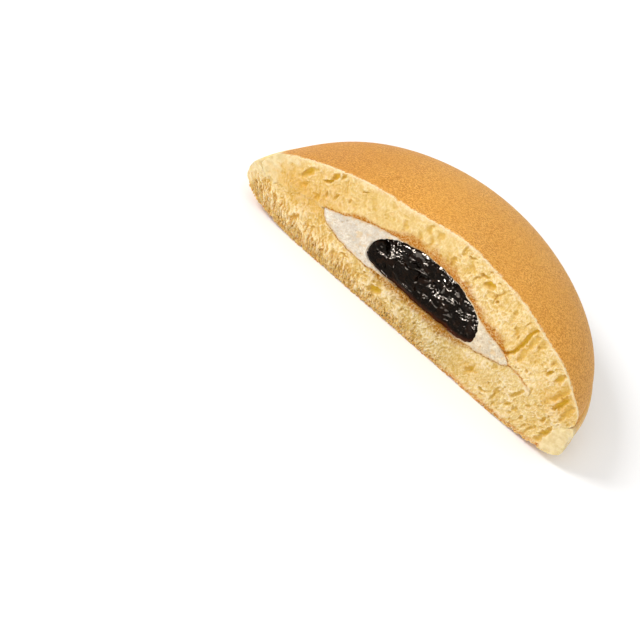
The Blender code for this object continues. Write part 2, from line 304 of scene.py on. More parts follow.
def corner_depth(x, z, left_x, right_x):
    depth = np.zeros_like(x)
    low, high = CORNER_FADE_Z
    fade = np.clip((high - z) / (high - low), CORNER_LEAST, 1.0)
    for (reach, deep), end in ((CORNER_LEFT, -left_x), (CORNER_RIGHT, right_x)):
        along = np.clip((np.where(end == right_x, x, -x) - (end - reach)) / reach, 0.0, 1.0)
        depth = depth + deep * (1.0 - np.sqrt(1.0 - along ** 2)) * fade
    return depth


# Noise

HASH_X = 374761393
HASH_Y = 668265263
HASH_SEED = 974634777
HASH_ROUNDS = ((13, 1274126177), (16, 2246822519))
HASH_LAST_SHIFT = 15
HASH_WORD = 0xFFFFFFFF
HASH_RANGE = 0xFFFFFF
OCTAVE_SHIFT = 7.3
PORE_MARGIN = 0.15
PORE_BOWL = 0.6


def lattice(ix, iy, seed):
    """A repeatable random number from 0 to 1 for each whole-number place."""
    mixed = ix.astype(np.int64) * HASH_X + iy.astype(np.int64) * HASH_Y + seed * HASH_SEED
    mixed = mixed & HASH_WORD
    for shift, factor in HASH_ROUNDS:
        mixed = ((mixed ^ (mixed >> shift)) * factor) & HASH_WORD
    return ((mixed ^ (mixed >> HASH_LAST_SHIFT)) & HASH_RANGE) / float(HASH_RANGE)


def noise(x, y, seed):
    """Smooth noise from -1 to 1 whose lumps are about one unit across."""
    ix = np.floor(x)
    iy = np.floor(y)
    fx = smooth_step(x - ix)
    fy = smooth_step(y - iy)
    low = lattice(ix, iy, seed) * (1 - fx) + lattice(ix + 1, iy, seed) * fx
    high = lattice(ix, iy + 1, seed) * (1 - fx) + lattice(ix + 1, iy + 1, seed) * fx
    return 2.0 * (low * (1 - fy) + high * fy) - 1.0


def add_noise(value, x, z, layers):
    """Adds noises, each given as lump size along X, lump size along Z, strength and seed."""
    for size_x, size_z, strength, seed in layers:
        value = value + strength * noise(x / size_x, z / size_z, seed)
    return value


def add_layered(value, x, z, layer, octaves):
    """Adds one noise with finer octaves in it, given like those of add_noise."""
    size_x, size_z, strength, seed = layer
    x = x / size_x
    z = z / size_z
    total = np.zeros_like(x)
    size = 1.0
    for octave in range(octaves):
        total = total + size * noise(x / size + OCTAVE_SHIFT * octave, z / size, seed + octave)
        size *= 0.5
    return value + strength * (total / (2.0 - 2.0 * size))


def cells_around(x, y):
    """The unit cell of each point and the eight cells round it."""
    ix = np.floor(x)
    iy = np.floor(y)
    for step_x in (-1, 0, 1):
        for step_y in (-1, 0, 1):
            yield ix + step_x, iy + step_y


def pores(x, y, kind):
    """Round dents from 0 to 1 in some cells of a grid.

    Their kind is cell size along X and Z, seed, share of the cells, smallest and largest radius.
    """
    size_x, size_y, seed, share, smallest, largest = kind
    x = x / size_x
    y = y / size_y
    spread = 1.0 - 2.0 * PORE_MARGIN
    dent = np.zeros_like(x)
    for cx, cy in cells_around(x, y):
        there = lattice(cx, cy, seed) < share
        px = cx + PORE_MARGIN + spread * lattice(cx, cy, seed + 1)
        py = cy + PORE_MARGIN + spread * lattice(cx, cy, seed + 2)
        radius = smallest + (largest - smallest) * lattice(cx, cy, seed + 3) ** 2
        away2 = ((x - px) ** 2 + (y - py) ** 2) / radius ** 2
        bowl = np.clip(1.0 - away2, 0.0, 1.0) ** PORE_BOWL
        dent = np.maximum(dent, np.where(there, bowl, 0.0))
    return dent


# Meshes of half solids

def rim_path(radius_at, middle_x, spokes):
    """Rim points from the +X end of the cut round to its -X end, close together near the cut."""
    ends = []
    for side in (1.0, -1.0):
        angle = 0.0 if side > 0 else math.pi
        for _ in range(ANGLE_TRIES):
            angle = math.asin(CUT_Y / float(radius_at(angle)))
            angle = angle if side > 0 else math.pi - angle
        ends.append(angle)
    along = np.linspace(0.0, 1.0, spokes + 1)
    along = SPOKES_EVEN * along + (1.0 - SPOKES_EVEN) * (0.5 - 0.5 * np.cos(math.pi * along))
    turn = ends[0] + (ends[1] - ends[0]) * along
    radius = np.array([float(radius_at(angle)) for angle in turn])
    x = middle_x + radius * np.cos(turn)
    y = radius * np.sin(turn)
    y[0] = CUT_Y
    y[-1] = CUT_Y
    return x, y


class HalfSolid:
    """Points and faces of a closed half solid between two surfaces, as arrays in millimetres.

    Rings run from the middle of the cut to the rim, spokes from its +X end round to its -X end,
    and rows from the lower surface to the upper one.
    """

    def __init__(self, path, middle_x, bottom, top, steps, bulge=0.0, lean=0.0):
        path_x, path_y = path
        spokes, rings, rows = steps
        step = np.linspace(0.0, 1.0, rings + 1)
        share = RINGS_EVEN * step + (1.0 - RINGS_EVEN) * np.sin(step * math.pi / 2)
        x = middle_x + share[:, None] * (path_x[None, :] - middle_x)
        y = CUT_Y + share[:, None] * (path_y[None, :] - CUT_Y)
        low = bottom(x, y)
        high = top(x, y)
        level = np.linspace(0.0, 1.0, rows + 1)

        self.points = []
        self.face_lists = []
        self.count = 0
        bottom_ids = self.add_grid(x, y, low, shared_first=True)
        top_ids = self.add_grid(x, y, high, shared_first=True)

        out = 1.0 + bulge * np.sin(math.pi * level) - lean * level
        wall_x = middle_x + out[:, None] * (x[-1] - middle_x)[None, :]
        wall_y = CUT_Y + out[:, None] * (y[-1] - CUT_Y)[None, :]
        wall_z = low[-1] + level[:, None] * (high[-1] - low[-1])
        wall_ids = self.add_grid(wall_x[1:-1], wall_y[1:-1], wall_z[1:-1])
        self.points[1][-1 - spokes:, 0] = wall_x[-1]
        self.points[1][-1 - spokes:, 1] = wall_y[-1]
        wall_ids = np.vstack([bottom_ids[-1:], wall_ids, top_ids[-1:]])

        columns = np.concatenate([np.arange(rings - 1, 0, -1), np.arange(0, rings)])
        side = np.concatenate([np.full(rings - 1, spokes), np.zeros(rings, int)])
        face_x = x[columns, side][:, None] + np.zeros(rows - 1)
        face_low = low[columns, side][:, None]
        face_high = high[columns, side][:, None]
        face_z = face_low + level[None, 1:-1] * (face_high - face_low)
        inner = self.add_grid(face_x, np.full_like(face_x, CUT_Y), face_z)
        inner = np.vstack([wall_ids[1:-1, spokes][None], inner, wall_ids[1:-1, 0][None]])
        columns = np.concatenate([[rings], columns, [rings]])
        side = np.concatenate([[spokes], side, [0]])
        face_ids = np.hstack([
            bottom_ids[columns, side][:, None], inner, top_ids[columns, side][:, None],
        ])

        self.add_faces(top_ids)
        self.add_faces(bottom_ids[:, ::-1])
        self.add_faces(wall_ids.T[::-1])
        self.add_faces(face_ids)
        self.points = np.concatenate(self.points)
        self.faces = np.concatenate(self.face_lists)
        self.behind = np.maximum(self.points[:, 1] - CUT_Y, 0.0)

    def add_grid(self, x, y, z, shared_first=False):
        ids = self.count + np.arange(x.size).reshape(x.shape)
        points = np.stack([x.ravel(), y.ravel(), z.ravel()], axis=1)
        if shared_first:
            width = x.shape[1]
            points = points[width - 1:]
            ids = np.maximum(ids - (width - 1), self.count)
        self.points.append(points)
        self.count += len(points)
        return ids

    def add_faces(self, ids):
        corners = [ids[:-1, :-1], ids[1:, :-1], ids[1:, 1:], ids[:-1, 1:]]
        self.face_lists.append(np.stack([c.ravel() for c in corners], axis=1))


def to_frame(points):
    """From the cake's own frame in millimetres to the model's frame in metres."""
    return (points - FRAME_SHIFT) * MM


def make_object(name, points, faces, masks, node, material):
    """A piece from points and four-cornered faces, some of which repeat a corner."""
    mesh = bpy.data.meshes.new(name)
    placed = to_frame(points)
    doubled = np.zeros(faces.shape, bool)
    for column in range(1, 4):
        for earlier in range(column):
            doubled[:, column] |= faces[:, column] == faces[:, earlier]
    count = 4 - doubled.sum(axis=1)
    keep = count >= 3
    faces, doubled, count = faces[keep], doubled[keep], count[keep]
    corners = faces[~doubled]
    starts = np.concatenate([[0], np.cumsum(count)[:-1]])
    mesh.vertices.add(len(placed))
    mesh.vertices.foreach_set("co", placed.astype(np.float32).ravel())
    mesh.loops.add(len(corners))
    mesh.loops.foreach_set("vertex_index", corners.astype(np.int32))
    mesh.polygons.add(len(faces))
    mesh.polygons.foreach_set("loop_start", starts.astype(np.int32))
    mesh.update(calc_edges=True)
    mesh.validate()
    mesh.shade_smooth()
    mesh.set_sharp_from_angle(angle=SHARP_ANGLE)
    for mask_name, values in masks.items():
        layer = mesh.attributes.new(mask_name, "FLOAT", "POINT")
        layer.data.foreach_set("value", np.clip(values, 0.0, 1.0).astype(np.float32))
    item = bpy.data.objects.new(name, mesh)
    bpy.context.collection.objects.link(item)
    item.data.materials.append(material)
    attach(item, "root")
    if node:
        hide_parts(node)
    return item


jelly_low, jelly_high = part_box("coffee_jelly")
FRAME_SHIFT = np.array([
    JELLY_X - (jelly_low.x + jelly_high.x) / 2 / MM,
    CUT_Y - cad_low.y / MM,
    -cad_low.z / MM,
])

# Relief of the cut crumb

# Pores that stand out: x, z, half length, half width, lean in degrees from upright, depth
NAMED_PORES = (
    (-35.7, 18.6, 2.5, 0.65, 30, 0.8), (-30.3, 20.5, 1.6, 0.34, 47, 1.0),
    (-29.4, 22.6, 1.6, 0.5, 16, 0.9), (-27.7, 24.3, 1.0, 0.34, 18, 0.8),
    (-41.4, 9.9, 1.1, 0.22, 38, 0.4), (-43.6, 4.6, 1.2, 0.28, 33, 0.4),
    (-40.7, 3.2, 1.4, 0.36, 13, 0.5), (-34.7, 9.5, 1.4, 0.57, 21, 0.3), (-34.2, 4.8, 2.0, 0.5, 27, 0.45),
    (-36.8, 0.9, 1.2, 0.28, 15, 0.5), (-32.8, 2.2, 1.3, 0.3, 17, 0.5), (-25.8, 3.1, 2.2, 0.37, 12, 0.4),
    (-29.0, 17.3, 1.2, 0.22, -12, 0.5), (-26.7, 18.4, 1.1, 0.22, 15, 0.6), (-30.7, 15.2, 1.3, 0.43, 4, 0.5),
    (-35.0, 15.5, 1.7, 0.43, 38, 0.4), (-21.1, 24.9, 0.9, 0.2, 38, 0.6), (-23.0, 20.1, 0.8, 0.25, -3, 0.4),
    (-7.3, 4.7, 2.2, 0.85, 67, 1.1), (13.1, 29.1, 1.0, 0.33, 75, 0.9), (15.6, 28.1, 1.8, 0.7, 61, 1.0),
    (19.0, 25.9, 0.5, 0.32, 36, 0.8), (6.4, 31.2, 1.0, 0.26, 4, 0.5), (9.0, 30.9, 1.3, 0.22, 66, 0.6),
    (5.3, 26.2, 1.5, 0.39, -7, 0.4), (-18.0, 6.6, 1.0, 0.26, -85, 0.8), (38.0, 20.3, 1.2, 0.32, 24, 1.0),
    (40.6, 20.4, 2.0, 0.66, 26, 0.8), (43.0, 17.5, 4.8, 0.5, 21, 0.35), (44.3, 15.7, 2.8, 0.62, 17, 1.2),
    (46.4, 13.8, 3.2, 0.55, 14, 0.45), (42.7, 8.8, 1.0, 0.36, 9, 0.7), (44.9, 6.1, 2.9, 0.75, 15, 0.8),
    (41.6, 4.4, 1.8, 0.33, 28, 0.5), (34.5, 9.5, 2.7, 0.43, 22, 0.55), (30.0, 5.2, 2.4, 0.28, 1, 0.5),
    (26.9, 3.5, 1.0, 0.36, 80, 0.6), (21.9, 5.8, 1.7, 0.7, 17, 0.7), (34.0, 5.4, 1.3, 0.32, 30, 0.5),
    (36.9, 12.3, 1.6, 0.25, -2, 0.35), (26.3, 22.6, 1.3, 0.43, -6, 0.35), (36.0, 5.4, 1.1, 0.33, 26, 0.45),
    (38.2, 4.6, 1.1, 0.3, 26, 0.45),
)
# Tears as a run of points with a width and a depth
TEARS = (
    (((30.5, 26.7), (29.5, 24.1), (29.3, 21.4), (28.7, 18.4), (27.5, 16.6)), 0.5, 1.1),
    (((31.7, 25.5), (30.9, 22.9), (30.6, 20.3), (30.8, 17.4)), 0.8, 0.35),
    (((19.4, 29.0), (18.0, 26.8), (18.4, 24.6)), 0.25, 0.35),
)
PORE_DEPTH = 0.8
PORE_WIDER = 0.08
PORE_WARP = 0.35
PORE_EDGE = (1.3, 1.0)
PORE_LIP = 0.12
PORE_LIP_AT = (1.5, 0.3)
PORE_LIP_MOST = 0.8
TEAR_EDGE = (1.2, 0.9)
# Golden, more open places: x, z, reach along, reach up, strength
GOLDEN = (
    (-34.5, 12.8, 7.0, 3.6, 0.75), (-28.0, 15.0, 5.0, 3.4, 0.35), (-39.5, 14.0, 5.0, 4.0, 0.25),
    (-27.0, 20.5, 6.0, 3.4, 0.4), (43.5, 15.5, 5.0, 5.5, 0.5), (30.0, 21.0, 5.0, 4.0, 0.3),
    (22.0, 6.0, 3.0, 2.0, 0.4),
)
GOLDEN_MEAN = 0.85
GOLDEN_MOST = 0.9
# How lively the crumb is along the cut, in the upper and in the lower cake
LIVELY_X = (-48.0, -32.0, -12.0, 2.0, 12.0, 26.0, 48.0)
LIVELY_UPPER = (0.5, 0.6, 0.38, 0.42, 0.85, 0.75, 0.72)
LIVELY_LOWER = (0.75, 0.9, 1.1, 1.1, 0.95, 0.75, 0.7)
LIVELY_BLEND = 2.0

# Smooth skin at the ends of the cut: its border as x and z at the right, and a slanting line
SKIN_RIGHT = ((45.4, 1.5), (45.6, 6.5), (46.6, 9.1), (48.8, 12.6), (50.4, 15.7))
SKIN_LEFT = (-44.6, 10.0)
SKIN_LEFT_SLOPE = 0.45
SKIN_LEFT_LOW_Z = 9.0
SKIN_LEFT_LOW_OUT = 3.0
SKIN_BLEND_RIGHT = 1.8
SKIN_BLEND_LEFT = 6.0
SKIN_DIMPLE = 0.16

# Torn lower edge: how high its tufts reach, and where along the cut they get shorter and end
TORN_REACH = 9.5
TORN_REACH_LESS = 5.0
TORN_SHORTER = (-20.0, 12.0)
TORN_SOFT = 0.75
TORN_END = (18.0, 20.0)
TORN_DEPTH = 0.48
TORN_LOOK_LESS = (-26.0, 10.0)
TUFT_MEAN = 0.56
FAN = 0.012  # how much the crumb's strands fan out, for each millimetre of X and Z
FAN_Z = 10.0

# Noises of the crumb: lump size along X, lump size along Z, strength, seed
WARP_X = ((2.2, 2.2, 0.55, 11), (0.8, 0.8, 0.25, 10))
WARP_Z = ((2.2, 2.2, 0.55, 12), (0.8, 0.8, 0.25, 14))
PATCHES = ((6.0, 4.0, 0.9, 43),)
SWELL = (2.4, 3.0, 0.22, 13)
GRAIN = (0.62, 0.7, 0.1, 17)
FIBRE = (0.5, 1.8, 0.14, 18)
WOBBLE = ((0.8, 0.8, 0.3, 41), (0.4, 0.4, 0.2, 42))
DIMPLES = (2.2, 1.8, 1.0, 19)
TUFT_SWAY = ((1.6, 1.6, 0.3, 11),)
TUFT_STRANDS = ((1.1, 2.6, 0.3, 21), (0.38, 1.3, 0.9, 23))
SKIN_WANDER_RIGHT = ((1.2, 1.2, 0.5, 61),)
SKIN_WANDER_LEFT = ((1.0, 1.0, 0.4, 62),)
BORDER_X = ((1.5, 1.5, 0.2, 131), (0.55, 0.55, 0.1, 132))
BORDER_Z = ((1.5, 1.5, 0.2, 133), (0.55, 0.55, 0.1, 134))
GOLDEN_PATCHES = (2.0, 2.5, 0.3, 95)
FRAY = ((0.5, 1.0, 1.0, 77), (1.4, 1.0, 0.5, 78))
WORN = ((0.6, 1.0, 1.0, 79), (1.9, 1.0, 0.5, 80))

# Sponge cells and small pores in every part of the crumb
SPONGE_SEED = 51
SPONGE_SIZE = 0.95
SPONGE_TALL = 1.5
SPONGE_WALL = 0.5
SPONGE_DEPTH = 0.1
SPONGE_DEPTH_PATCHES = 0.16
SMALL_PORES = (1.3, 1.6, 31, 0.4, 0.12, 0.34)
WIDE_PORES = (3.2, 4.2, 35, 0.3, 0.1, 0.26)
SMALL_PORE_DEPTH = 0.25
WIDE_PORE_DEPTH = 0.45
CALM = 0.6
CALM_LEFT = (-22.0, 8.0)

# Upright slits under the crust, more of them in the middle of the cut
SLIT_SIZE = (0.8, 2.6)
SLIT_SEED = 25
SLIT_RARE = 0.15
SLIT_UNDER_CRUST = 1.4
SLIT_LOWEST = (9.0, 4.0)
SLIT_DEPTH = 0.45
SLIT_START = (-34.0, 8.0)
SLIT_DEPTH_MIDDLE = 0.22
SLIT_MIDDLE_X = -2.0
SLIT_MIDDLE_REACH = (10.0, 5.0)

# Depth of the whole relief, how it is kept shallow at the edges of the cut and fades behind it
RELIEF_MEAN = 0.34
EDGE_DEPTH = 0.18
EDGE_DEPTH_TORN = 0.9
EDGE_DEPTH_RISE = 1.5
EDGE_WIDTH = 5.0
RELIEF_FADE = 0.7
BORDER_EDGE = 2.0
BORDER_FADE = 1.5
RAGGED_MOST = 1.2
FRAY_MEAN = 0.25
FRAY_LIFT = 0.4
FRAY_FADE = 1.5
FRAY_HIGH = 0.9
WORN_MEAN = 0.3
WORN_DROP = 0.22
WORN_FADE = 0.6
WORN_HIGH = 0.5


def distance_to_run(x, z, run):
    nearest = np.full_like(x, np.inf)
    for (ax, az), (bx, bz) in zip(run[:-1], run[1:]):
        length2 = (bx - ax) ** 2 + (bz - az) ** 2
        along = np.clip(((x - ax) * (bx - ax) + (z - az) * (bz - az)) / length2, 0.0, 1.0)
        away = np.hypot(x - ax - along * (bx - ax), z - az - along * (bz - az))
        nearest = np.minimum(nearest, away)
    return nearest


def skin_share(x, z):
    """1 where the smooth outer skin wraps round the ends of the cut, 0 on the crumb."""
    border_x, border_z = zip(*SKIN_RIGHT)
    right = (x - np.interp(z, border_z, border_x)) / SKIN_BLEND_RIGHT + 0.5
    right = smooth_step(add_noise(right, x, z, SKIN_WANDER_RIGHT))
    left_x, left_z = SKIN_LEFT
    left_edge = left_x + SKIN_LEFT_SLOPE * (z - left_z)
    left_edge = np.where(z < SKIN_LEFT_LOW_Z, left_x - SKIN_LEFT_LOW_OUT, left_edge)
    left = smooth_step(add_noise((left_edge - x) / SKIN_BLEND_LEFT + 0.5, x, z, SKIN_WANDER_LEFT))
    return np.maximum(right, left)


def torn_share(x, over_base):
    """How far the fluffy tufts of the torn lower edge reach, from 0 to 1."""
    reach = TORN_REACH - TORN_REACH_LESS * rising(x, *TORN_SHORTER)
    return falling(over_base, reach, TORN_SOFT * reach) * falling(x, *TORN_END)


def liveliness(x, z):
    upper = smooth_step((z - seam(x, CUT_Y)) / LIVELY_BLEND + 0.5)
    return mix((np.interp(x, LIVELY_X, LIVELY_LOWER), np.interp(x, LIVELY_X, LIVELY_UPPER)), upper)


def tufts(x, z):
    """Upright strands of torn crumb: 1 on a strand, 0 in the gap between two."""
    across = add_noise(x - FAN * x * (z - FAN_Z), x, z, TUFT_SWAY)
    return smooth_step(add_noise(TUFT_MEAN, across, z, TUFT_STRANDS))


def sponge(x, z):
    """Soft pits from 0 to 1 in every cell of a grid, with thin walls between them."""
    x = x / SPONGE_SIZE
    z = z / (SPONGE_SIZE * SPONGE_TALL)
    first = np.full_like(x, np.inf)
    second = np.full_like(x, np.inf)
    for cx, cz in cells_around(x, z):
        away_x = x - cx - lattice(cx, cz, SPONGE_SEED)
        away_z = z - cz - lattice(cx, cz, SPONGE_SEED + 1)
        away = np.hypot(away_x, away_z)
        second = np.minimum(second, np.maximum(first, away))
        first = np.minimum(first, away)
    return smooth_step((second - first) / SPONGE_WALL)


def crumb_relief(x, z):
    """Depth of the cut crumb in millimetres, and how open it is there."""
    under_crust = dome_top(x, CUT_Y) - z
    over_base = z - base_bottom(x, CUT_Y)
    warp_x = add_noise(x, x, z, WARP_X)
    warp_z = add_noise(z, x, z, WARP_Z)
    across = warp_x - FAN * x * (z - FAN_Z)
    patchy = smooth_step(add_noise(0.5, x, z, PATCHES))
    depth = add_layered(0.0, warp_x, warp_z, SWELL, 2)
    depth = depth + (SPONGE_DEPTH + SPONGE_DEPTH_PATCHES * patchy) * (sponge(across, warp_z) - 0.5)
    depth = add_layered(depth, x, z, GRAIN, 2)
    depth = add_layered(depth, across, z, FIBRE, 2)

    near_crust = rising(under_crust, 0.0, SLIT_UNDER_CRUST) * falling(under_crust, *SLIT_LOWEST)
    slit = noise(across / SLIT_SIZE[0], under_crust / SLIT_SIZE[1], SLIT_SEED)
    slit = np.clip(slit - SLIT_RARE, 0.0, 1.0) / (1.0 - SLIT_RARE)
    depth = depth + SLIT_DEPTH * near_crust * slit * rising(x, *SLIT_START)
    lively = liveliness(x, z)
    in_middle = falling(np.abs(x - SLIT_MIDDLE_X), *SLIT_MIDDLE_REACH)
    depth = RELIEF_MEAN + lively * depth + SLIT_DEPTH_MIDDLE * near_crust * slit * in_middle

    depth = depth + TORN_DEPTH * torn_share(x, over_base) * (1.0 - tufts(x, z))

    small = SMALL_PORE_DEPTH * pores(warp_x, warp_z, SMALL_PORES)
    wide = WIDE_PORE_DEPTH * pores(warp_x, warp_z, WIDE_PORES) * (1.0 - CALM * falling(x, *CALM_LEFT))
    open_pore = lively * (small + wide)
    wobble = add_noise(1.0, x, z, WOBBLE)
    near_x = x + PORE_WARP * (warp_x - x)
    near_z = z + PORE_WARP * (warp_z - z)
    for pore_x, pore_z, half_long, half_wide, turn, deep in NAMED_PORES:
        turn = math.radians(turn)
        along = (near_x - pore_x) * math.sin(turn) + (near_z - pore_z) * math.cos(turn)
        over = (near_x - pore_x) * math.cos(turn) - (near_z - pore_z) * math.sin(turn)
        away = np.sqrt((along / half_long) ** 2 + (over / (half_wide + PORE_WIDER)) ** 2) * wobble
        open_pore = open_pore + PORE_DEPTH * deep * falling(away, *PORE_EDGE)
        depth = depth - PORE_LIP * min(deep, PORE_LIP_MOST) * hill(away, *PORE_LIP_AT)
    for run, width, deep in TEARS:
        away = distance_to_run(near_x, near_z, run) / width * wobble
        open_pore = open_pore + PORE_DEPTH * deep * falling(away, *TEAR_EDGE)
    skin = skin_share(x, z)
    dimple = SKIN_DIMPLE * add_layered(1.0, x, z, DIMPLES, 3)
    return (depth + open_pore) * (1.0 - skin) + dimple * skin, open_pore * (1.0 - skin)


def loosen(points, behind):
    """Makes the borders between the layers uneven on the cut, by one field that all of them share."""
    x, z = points[:, 0].copy(), points[:, 2].copy()
    border = np.minimum(dome_top(x, CUT_Y) - z, z - base_bottom(x, CUT_Y))
    near = rising(border, 0.0, BORDER_EDGE) * np.exp(-behind / BORDER_FADE)
    points[:, 0] += near * add_noise(0.0, x, z, BORDER_X)
    points[:, 2] += near * add_noise(0.0, x, z, BORDER_Z)


def golden_share(x, z):
    share = np.zeros_like(x)
    for at_x, at_z, reach_x, reach_z, strength in GOLDEN:
        share = share + strength * hill(x, at_x, reach_x) * hill(z, at_z, reach_z)
    return np.clip(share * add_layered(GOLDEN_MEAN, x, z, GOLDEN_PATCHES, 3), 0.0, GOLDEN_MOST)


def ragged(x, mean, layers, behind, fade_behind, inward, fade_inward):
    """How far an edge of the cut is frayed, fading behind the cut and away from the edge."""
    rough = np.clip(add_noise(mean, x, 0.0 * x, layers), 0.0, RAGGED_MOST)
    return rough * np.exp(-behind / fade_behind) * np.exp(-inward / fade_inward)


# Shares of the colours

MASK_BEHIND = 4.0
MASK_RELIEF = 1.2
MASK_INWARD = 10.0
CRUST_TAN_X = (-8.0, 26.0)
# Where the crust gives way to the pale rim, and how that height changes towards the ends
CRUST_WANDER = ((4.0, 4.0, 0.5, 81), (1.3, 1.3, 0.25, 82))
CRUST_BLEND = 1.6
CRUST_CUT_REACH = 3.0
UPPER_CRUST_Z = 14.0
UPPER_CRUST_UP = 4.6
UPPER_CRUST_UP_X = (-38.0, 7.0)
UPPER_CRUST_DOWN = 1.2
UPPER_CRUST_DOWN_X = (35.0, 10.0)
LOWER_CRUST_Z = 2.2
LOWER_CRUST_UP = 2.4
LOWER_CRUST_UP_X = (-40.0, 6.0)
SHOULDER_Z = 8.2
SHOULDER_X = (18.0, 16.0)
SHOULDER_WANDER = 0.6
SHOULDER_BROWN = 0.6
# Soaked crumb beside the fillings, in the lower and in the upper cake: where it starts and ends
# along the cut, its width everywhere, its further width there and how much that varies
STAIN = (((-12.0, 5.0), (20.0, 4.0), 0.42, 1.9, 0.8), ((-13.0, 6.0), (29.0, 4.0), 0.45, 2.3, 1.0))
STAIN_WANDER = ((2.2, 2.2, 1.0, 91), (0.7, 0.7, 0.6, 92))
STAIN_INNER_SKIN = 0.9
STAIN_INNER_SKIN_X = (-19.5, 4.5)
STAIN_LEAST = 0.1
STAIN_SOFT = 1.3
STAIN_WITHIN_CREAM = (1.03, 0.04)
# The brown line between the cakes, at the right and more faintly at the left
SEAM_LINE_RIGHT = ((27.0, 2.0), (37.5, 3.0))
SEAM_LINE_LEFT = ((-40.0, 6.0), (-26.0, 2.0))
SEAM_LINE_FAINT = 0.15
SEAM_LINE_WIDTH = 0.42
SEAM_LINE_WANDER = ((1.2, 1.2, 0.2, 93),)
# Painted shade that makes the crumb greyer: strength, where it starts and where it ends
PAINTED_SHADE_UPPER = (0.2, (20.0, 25.0))
PAINTED_SHADE_LOWER = (0.3, (-20.0, 14.0), (60.0, 30.0))
PAINTED_SHADE_UNDER_JELLY = (0.35, (-4.0, 8.0), (22.0, 8.0))


def between(x, start, end):
    """1 between two places along the cut, each given with the reach over which it changes."""
    return rising(x, *start) * falling(x, *end)


def crust_share(points, upper):
    """1 on the browned outside, 0 on the pale rim."""
    x, y, z = points[:, 0], points[:, 1], points[:, 2]
    wander = add_noise(0.0, x, y, CRUST_WANDER)
    near_cut = np.exp(-np.maximum(y - CUT_Y, 0.0) / CRUST_CUT_REACH)
    if upper:
        level = UPPER_CRUST_Z + UPPER_CRUST_UP * falling(x, *UPPER_CRUST_UP_X) * near_cut
        level = level - UPPER_CRUST_DOWN * rising(x, *UPPER_CRUST_DOWN_X)
        return smooth_step((z - level - wander) / CRUST_BLEND + 0.5)
    level = LOWER_CRUST_Z + LOWER_CRUST_UP * falling(x, *LOWER_CRUST_UP_X)
    shoulder = rising(z + SHOULDER_WANDER * wander, SHOULDER_Z, CRUST_BLEND)
    shoulder = shoulder * rising(x, *SHOULDER_X) * (1.0 - near_cut)
    base = smooth_step((level - z + wander) / CRUST_BLEND + 0.5)
    return np.maximum(base, SHOULDER_BROWN * shoulder)


def stain_share(x, z, upper):
    """How much coffee the crumb next to the fillings has soaked up."""
    start, end, reach, further, varies = STAIN[upper]
    if upper:
        away = z - cream_top(x, CUT_Y)
        reach = reach + STAIN_INNER_SKIN * hill(x, *STAIN_INNER_SKIN_X)
    else:
        away = cream_bottom(x, CUT_Y) - z
    wander = add_noise(0.0, x, z, STAIN_WANDER)
    reach = reach + (further + varies * wander) * between(x, start, end)
    inside = falling(cream_share(x, CUT_Y), *STAIN_WITHIN_CREAM)
    return smooth_step(STAIN_SOFT - np.maximum(away, 0.0) / np.maximum(reach, STAIN_LEAST)) * inside


def seam_share(x, z):
    """The thin brown line where the two cakes meet beside the cream."""
    strength = between(x, *SEAM_LINE_RIGHT) + SEAM_LINE_FAINT * between(x, *SEAM_LINE_LEFT)
    width = add_noise(SEAM_LINE_WIDTH, x, z, SEAM_LINE_WANDER)
    return hill(z, seam(x, CUT_Y), width) * strength


def painted_shade_share(x, upper):
    """Painted shade: greyer, darker crumb towards the right and, in the lower cake, under the jelly."""
    if upper:
        strength, start = PAINTED_SHADE_UPPER
        return strength * rising(x, *start)
    return sum(strength * between(x, start, end) for strength, start, end in (PAINTED_SHADE_LOWER, PAINTED_SHADE_UNDER_JELLY))


def pancake(name, path, steps, bottom, top, upper, material, **shape):
    solid = HalfSolid(path, 0.0, bottom, top, steps, **shape)
    points = solid.points
    x, z = points[:, 0].copy(), points[:, 2].copy()
    behind = solid.behind
    over_base = z - base_bottom(x, CUT_Y)
    under_crust = dome_top(x, CUT_Y) - z
    depth, open_pore = crumb_relief(x, z)
    torn = torn_share(x, over_base)
    border = np.clip(np.minimum(under_crust, over_base), 0.0, EDGE_WIDTH)
    limit = EDGE_DEPTH + EDGE_DEPTH_TORN * torn + EDGE_DEPTH_RISE * border
    depth = np.maximum(limit * np.tanh(depth / limit), 0.0)
    fade = np.exp(-behind / RELIEF_FADE)
    ends = corner_depth(x, z, path[0][-1], path[0][0]) * np.exp(-behind / CORNER_SOFTEN)
    points[:, 1] += depth * fade + ends
    if upper:
        inward = np.maximum(under_crust, 0.0)
        worn = ragged(x, WORN_MEAN, WORN, behind, WORN_FADE, inward, WORN_HIGH)
        points[:, 2] -= WORN_DROP * worn
    else:
        frayed = ragged(x, FRAY_MEAN, FRAY, behind, FRAY_FADE, over_base, FRAY_HIGH)
        points[:, 2] += FRAY_LIFT * (1.0 + torn) * frayed * (1.0 - skin_share(x, z))
    loosen(points, behind)
    masks = {
        "behind": behind / MASK_BEHIND,
        # deep marks the open pores, which the material paints with golden shade
        "deep": open_pore * fade,
        # relief also drives the painted shade and highlight in the crumb's colour
        "relief": depth / MASK_RELIEF,
        "skin": skin_share(x, z),
        "to_base": over_base / MASK_INWARD,
        "to_crust": under_crust / MASK_INWARD,
        "torn": torn * (1.0 - 0.5 * rising(x, *TORN_LOOK_LESS)),
        "tuft": tufts(x, z),
        "tan": falling(x, *CRUST_TAN_X),
        "brown": crust_share(points, upper),
        "golden": golden_share(x, z),
        "lively": liveliness(x, z),
        "stain": stain_share(x, z, upper) * fade,
        "seam": seam_share(x, z) * fade,
        "painted_shade": painted_shade_share(x, upper),
    }
    node = "upper_pancake" if upper else "lower_pancake"
    return make_object(name, points, solid.faces, masks, node, material)


# Materials

# Places of the colour sockets of a Mix node
MIX_A = 6
MIX_B = 7
MIX_OUT = 2


